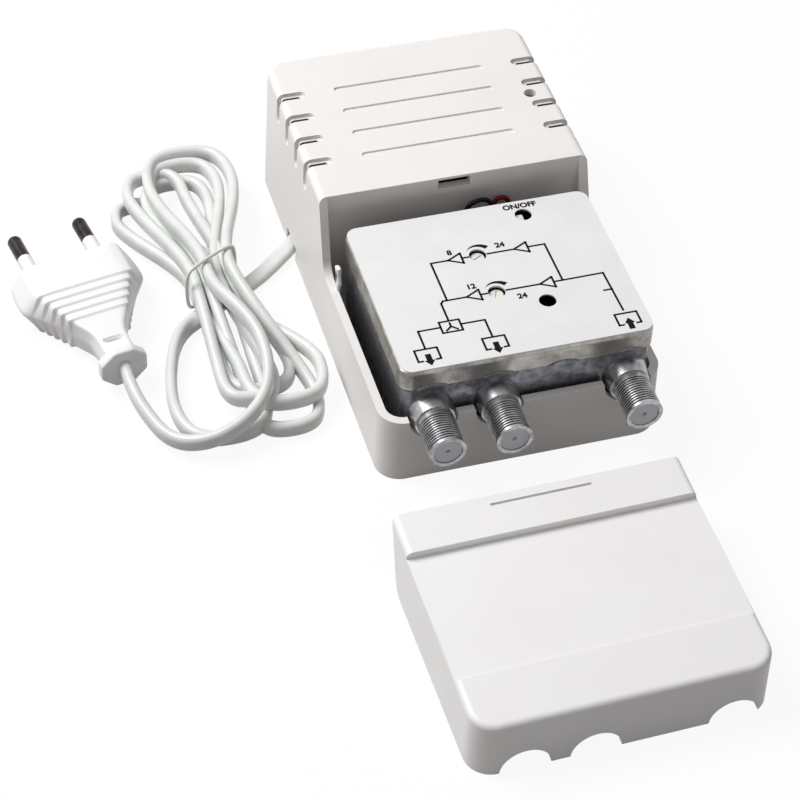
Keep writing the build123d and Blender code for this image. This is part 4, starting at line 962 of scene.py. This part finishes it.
@dataclass
class Controls(Part):
    """What shows in the label's holes: a slotted button on each trimmer's rotor, and the switch's cap.

    The dials and the cap are where the model stands at rest, in millimetres.
    """

    dials: tuple[tuple[str, Place, float], ...] = (("vhf_rotor", VHF_DIAL, 210.0),
                                                   ("uhf_rotor", UHF_DIAL, 250.0))
    button_radius: float = 2.0
    button_low: float = 30.4
    button_top: float = 33.0
    slot: Point = (3.0, 0.6, 0.7)
    cap_body: str = "slider"
    cap_place: Place = (14.2, -10.1)
    cap_size: Point = (2.3, 2.5, 1.4)
    cap_low: float = 31.6
    edge: float = 0.2

    def build(self) -> None:
        """Make the two buttons and the cap."""
        low, top = self.button_low, self.button_top
        for index, (body, place, turn) in enumerate(self.dials):
            button, tool = bmesh.new(), bmesh.new()
            add_prism(button, placed((*place, (low + top) / 2)), 40, top - low, self.button_radius,
                      self.button_radius - self.edge)
            add_box(tool, placed((*place, top), self.slot, math.radians(turn)))
            button.transform(TO_METRES)
            tool.transform(TO_METRES)
            name = f"dial_button_{index}"
            self.add_mesh(name, cut_out(name, button, tool), Material.WHITE_ACETAL, body, smooth=False)
        cap = bmesh.new()
        add_box(cap, placed((*self.cap_place, self.cap_low + self.cap_size[2] / 2), self.cap_size))
        round_edges(cap, self.edge, segments=3)
        cap.transform(TO_METRES)
        self.add_mesh("switch_cap", cap, Material.WHITE_ACETAL, self.cap_body)


@dataclass
class LabelPrint(Part):
    """The printing on the label: the two signal paths, their controls' scales and the port signs."""

    top: float = 34.0
    film: float = 0.03
    plate_edges: tuple[float, float, float, float] = (-31.7, 34.0, -58.9, -4.6)
    plate_low: float = 33.6
    plate_corner: float = 3.0
    line: float = 0.56
    arc_reach: Place = (3.1, 4.5)
    arc_start: float = 140.0
    arc_sweep: float = 105.0
    arc_steps: int = 18
    port_rows: Place = (-52.0, -56.0)
    port_half: float = 2.9
    port_foot: float = 1.1
    arrow_y: float = -55.8
    stem_size: Place = (1.5, 2.2)
    stem_back: float = 0.9
    head_size: Place = (1.6, 1.25)
    head_ahead: float = 0.8
    text_size: float = 2.5
    text_weight: float = 0.11
    hole_margin: float = 0.05
    lines: tuple[tuple[Place, ...], ...] = (
        ((-13.7, -36.6), (-13.7, -22.4), (-9.1, -22.4)),
        ((-5.4, -22.4), (8.6, -22.4)),
        ((12.3, -22.4), (16.9, -22.4), (17.0, -36.4)),
        ((-15.5, -43.8), (-15.5, -37.4), (-14.8, -36.6), (-8.6, -36.6)),
        ((-4.9, -36.6), (10.9, -36.6)),
        ((14.6, -36.6), (27.9, -36.5), (28.2, -50.8)),
        ((26.0, -42.8), (28.1, -42.8)),
        ((-18.1, -43.8), (-12.9, -43.8), (-12.9, -47.7), (-18.1, -47.7), (-18.1, -43.8)),
        ((-15.5, -44.6), (-15.5, -45.8), (-16.9, -47.0)),
        ((-15.5, -45.8), (-14.1, -47.0)),
        ((-18.1, -45.6), (-24.0, -45.6), (-24.0, -51.6)),
        ((-12.9, -45.6), (-6.6, -45.6), (-6.6, -51.6)),
    )
    signs: tuple[Place, ...] = ((-9.1, -22.4), (8.6, -22.4), (-8.6, -36.6), (10.9, -36.6))
    sign_size: Place = (3.7, 1.9)
    ports: tuple[tuple[float, bool], ...] = ((-24.0, False), (-6.5, False), (28.3, True))
    texts: tuple[tuple[str, Place], ...] = (
        ("8", (-8.6, -20.5)), ("24", (4.3, -20.7)), ("12", (-7.6, -34.0)), ("24", (4.0, -40.4)),
        ("ON/OFF", (10.7, -7.4)))
    holes: tuple[Place, ...] = (VHF_DIAL, UHF_DIAL, (15.2, -10.1), (10.9, -42.8))
    hole_radius: float = 2.25
    ink: BMesh = field(default_factory=bmesh.new)

    def add_bar(self, start: Place, end: Place) -> None:
        """Add one straight stroke with square ends.

        Args:
            start: Where the stroke starts.
            end: Where it ends.
        """
        run = Vector(end) - Vector(start)
        middle = (Vector(end) + Vector(start)) / 2
        size = (run.length + self.line, self.line, 2 * self.film)
        add_box(self.ink, placed((*middle, self.top), size, math.atan2(run.y, run.x)))

    def add_path(self, corners: Iterable[Place]) -> None:
        """Add the strokes from each corner to the next."""
        corners = list(corners)
        for start, end in zip(corners, corners[1:]):
            self.add_bar(start, end)

    def add_sign(self, tip: Place) -> None:
        """Add an amplifier sign, an open triangle that points to the left, by its tip."""
        length, half = self.sign_size
        base = tip[0] + length
        self.add_path((tip, (base, tip[1] - half), (base, tip[1] + half), tip))

    def add_port(self, x: float, inward: bool) -> None:
        """Add the sign of a port: an open frame with a solid arrow through it.

        Args:
            x: Its middle.
            inward: Whether the signal comes in there.
        """
        (top, foot), half, y = self.port_rows, self.port_half, self.arrow_y
        left, right, run = x - half, x + half, self.port_foot
        for start, end in (((left, top), (right, top)), ((left, top), (left, foot)),
                           ((right, top), (right, foot)), ((left, foot), (left + run, foot)),
                           ((right, foot), (right - run, foot))):
            self.add_bar(start, end)
        way = 1 if inward else -1
        thick = 2 * self.film
        add_box(self.ink, placed((x, y - way * self.stem_back, self.top), (*self.stem_size, thick)))
        width, length = self.head_size
        head = placed((x, y + way * self.head_ahead, self.top), (width, way * length, 1.0))
        add_prism(self.ink, head, 3, thick)

    def add_scale(self, dial: Place) -> None:
        """Add the tapered arc over a dial, by the dial's middle."""
        grid = bmesh.ops.create_grid(self.ink, x_segments=self.arc_steps, y_segments=1, size=1.0)["verts"]
        near, far = self.arc_reach
        for vert in grid:
            share = (vert.co.x + 1) / 2
            angle = math.radians(self.arc_start - self.arc_sweep * share)
            reach = near + (far - near) * share * (vert.co.y + 1) / 2
            vert.co = (dial[0] + reach * math.cos(angle), dial[1] + reach * math.sin(angle),
                       self.top + self.film)

    def plate(self) -> None:
        """Make the thin plate, with its rounded corners and its holes."""
        left, right, front, back = self.plate_edges
        shape = bmesh.new()
        middle = ((left + right) / 2, (front + back) / 2, self.plate_low)
        place = placed(middle, (right - left, back - front, 1.0))
        bmesh.ops.create_grid(shape, x_segments=1, y_segments=1, size=0.5, matrix=place)
        bmesh.ops.bevel(shape, geom=list(shape.verts), offset=self.plate_corner, offset_type="OFFSET",
                        segments=8, profile=0.5, affect="VERTICES", material=-1)
        raised = bmesh.ops.extrude_face_region(shape, geom=list(shape.faces))["geom"]
        bmesh.ops.translate(shape, vec=(0, 0, self.top - self.plate_low),
                            verts=[item for item in raised if isinstance(item, BMVert)])
        bmesh.ops.recalc_face_normals(shape, faces=shape.faces)
        drill = bmesh.new()
        for x, y in self.holes:
            add_prism(drill, placed((x, y, self.top)), 40, 2.0, self.hole_radius)
        shape.transform(TO_METRES)
        drill.transform(TO_METRES)
        name = "label_plate"
        plate = self.add_mesh(name, cut_out(name, shape, drill), Material.LABEL_ALUMINIUM, smooth=False)
        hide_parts("rf_label")

    def build(self) -> None:
        """Make the plate, the print and the numbers."""
        self.plate()
        for line in self.lines:
            self.add_path(line)
        for tip in self.signs:
            self.add_sign(tip)
        for x, inward in self.ports:
            self.add_port(x, inward)
        for dial in (VHF_DIAL, UHF_DIAL):
            self.add_scale(dial)
        self.ink.transform(TO_METRES)
        for x, y in self.holes:
            clear_disc(self.ink, Vector((x, y)) * MM, (self.hole_radius + self.hole_margin) * MM)
        self.add_mesh("label_lines", self.ink, Material.PRINT_INK, slot="label_print", smooth=False)
        for index, (text, place) in enumerate(self.texts):
            self.add_text(f"label_figure_{index}", text, place)

    def add_text(self, name: str, text: str, place: Place) -> None:
        """Print a number or a switch position.

        Args:
            name: Name of the piece.
            text: What it says.
            place: Its lower left corner.
        """
        words = bpy.data.curves.new(name, "FONT")
        words.body = text
        words.size = self.text_size * MM
        words.extrude = self.film * MM
        words.offset = self.text_weight * MM
        shape = take_shape(put(name, words))
        shape.transform(Matrix.Translation((place[0] * MM, place[1] * MM, self.top * MM)))
        self.add_mesh(name, shape, Material.PRINT_INK, slot="label_print", smooth=False)


@dataclass
class Studio:
    """Floor, room light, lamp and camera."""

    eye: Point = (-0.1600, -0.4510, 0.4447)
    turn: Point = (0.7762, -0.0315, -0.283)
    lens_mm: float = 107.70
    sight: float = 20.0
    floor_side: float = 6.0
    key_place: Point = (-0.48, 0.27, 0.774)
    key_side: float = 0.5
    key_power: float = 8.8
    key_aim: Point = (-0.02, -0.04, 0.0)
    room_strength: float = 0.32
    paper_glow: float = 0.92

    def build(self) -> None:
        """Set up the floor, the world, the lamp and the camera."""
        scene = bpy.context.scene
        scene.view_settings.view_transform = "Standard"
        self.add_floor()
        self.add_world()
        self.add_lamp()
        data = bpy.data.cameras.new("camera")
        data.lens = self.lens_mm
        data.clip_end = self.sight
        camera = put("camera", data)
        camera.location = self.eye
        camera.rotation_euler = self.turn
        scene.camera = camera

    def add_floor(self) -> None:
        """Lay a large paper floor that the camera sees as white, with the object's faint shadow on it."""
        shape = bmesh.new()
        bmesh.ops.create_grid(shape, x_segments=1, y_segments=1, size=self.floor_side / 2)
        floor = put_shape("floor", shape)
        material = bpy.data.materials.new("floor_paper")
        material.use_nodes = True
        tree = material.node_tree
        tree.nodes.remove(tree.nodes["Principled BSDF"])
        grey = add_node(tree, "BsdfDiffuse", {"Color": linear_colour(PAPER_GREY)}).outputs[0]
        paper = add_node(tree, "BsdfDiffuse", {"Color": linear_colour(PAPER_WHITE)}).outputs[0]
        glow = add_node(tree, "Emission", {"Color": WHITE, "Strength": 1.0}).outputs[0]
        seen = add_node(tree, "MixShader", {0: self.paper_glow, 1: paper, 2: glow}).outputs[0]
        mixed = add_node(tree, "MixShader", {0: self.seen_share(tree), 1: grey, 2: seen}).outputs[0]
        tree.links.new(mixed, tree.nodes["Material Output"].inputs["Surface"])
        floor.data.materials.append(material)

    def seen_share(self, tree: NodeTree) -> NodeSocket:
        """Tell the rays that should meet a white studio: those of the camera, of gloss and of glass.

        Args:
            tree: The node tree of the floor or the world.

        Returns:
            One for such a ray, zero for another.
        """
        path = add_node(tree, "LightPath").outputs
        seen = path["Is Camera Ray"]
        for kind in ("Is Glossy Ray", "Is Transmission Ray"):
            seen = combine(tree, "MAXIMUM", seen, path[kind])
        return seen

    def add_world(self) -> None:
        """Fill the room with soft light, and show white behind the object."""
        world = bpy.data.worlds.new("room")
        bpy.context.scene.world = world
        world.use_nodes = True
        tree = world.node_tree
        room = tree.nodes["Background"]
        room.inputs["Color"].default_value = linear_colour(ROOM_WHITE)
        room.inputs["Strength"].default_value = self.room_strength
        seen = add_node(tree, "Background", {"Strength": 1.0, "Color": WHITE})
        shares = {0: self.seen_share(tree), 1: room.outputs[0], 2: seen.outputs[0]}
        mixed = add_node(tree, "MixShader", shares).outputs[0]
        tree.links.new(mixed, tree.nodes["World Output"].inputs["Surface"])

    def add_lamp(self) -> None:
        """Hang a square lamp that looks at the middle of the object."""
        data = bpy.data.lights.new("key_lamp", "AREA")
        data.energy = self.key_power
        data.size = self.key_side
        lamp = put("key_lamp", data)
        lamp.location = self.key_place
        aim = Vector(self.key_aim) - Vector(self.key_place)
        lamp.rotation_euler = aim.to_track_quat("-Z", "Y").to_euler()


def main() -> None:
    """Load the frame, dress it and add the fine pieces."""
    logging.basicConfig(level=logging.INFO, format="%(name)s: %(message)s")
    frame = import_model()
    palette = Palette()
    palette.dress_nodes(frame)
    nodes = frame["nodes"]
    on_cord = [nodes["plug_pins"], nodes["pin_sleeves"], *Plug(palette).build(), HankTie(palette).build()]
    Cord(palette).build(on_cord)
    for part in (Wires, CastFlanges, SnapNib, Controls, LabelPrint):
        part(palette).build()
    Studio().build()


if __name__ == "__main__":
    main()
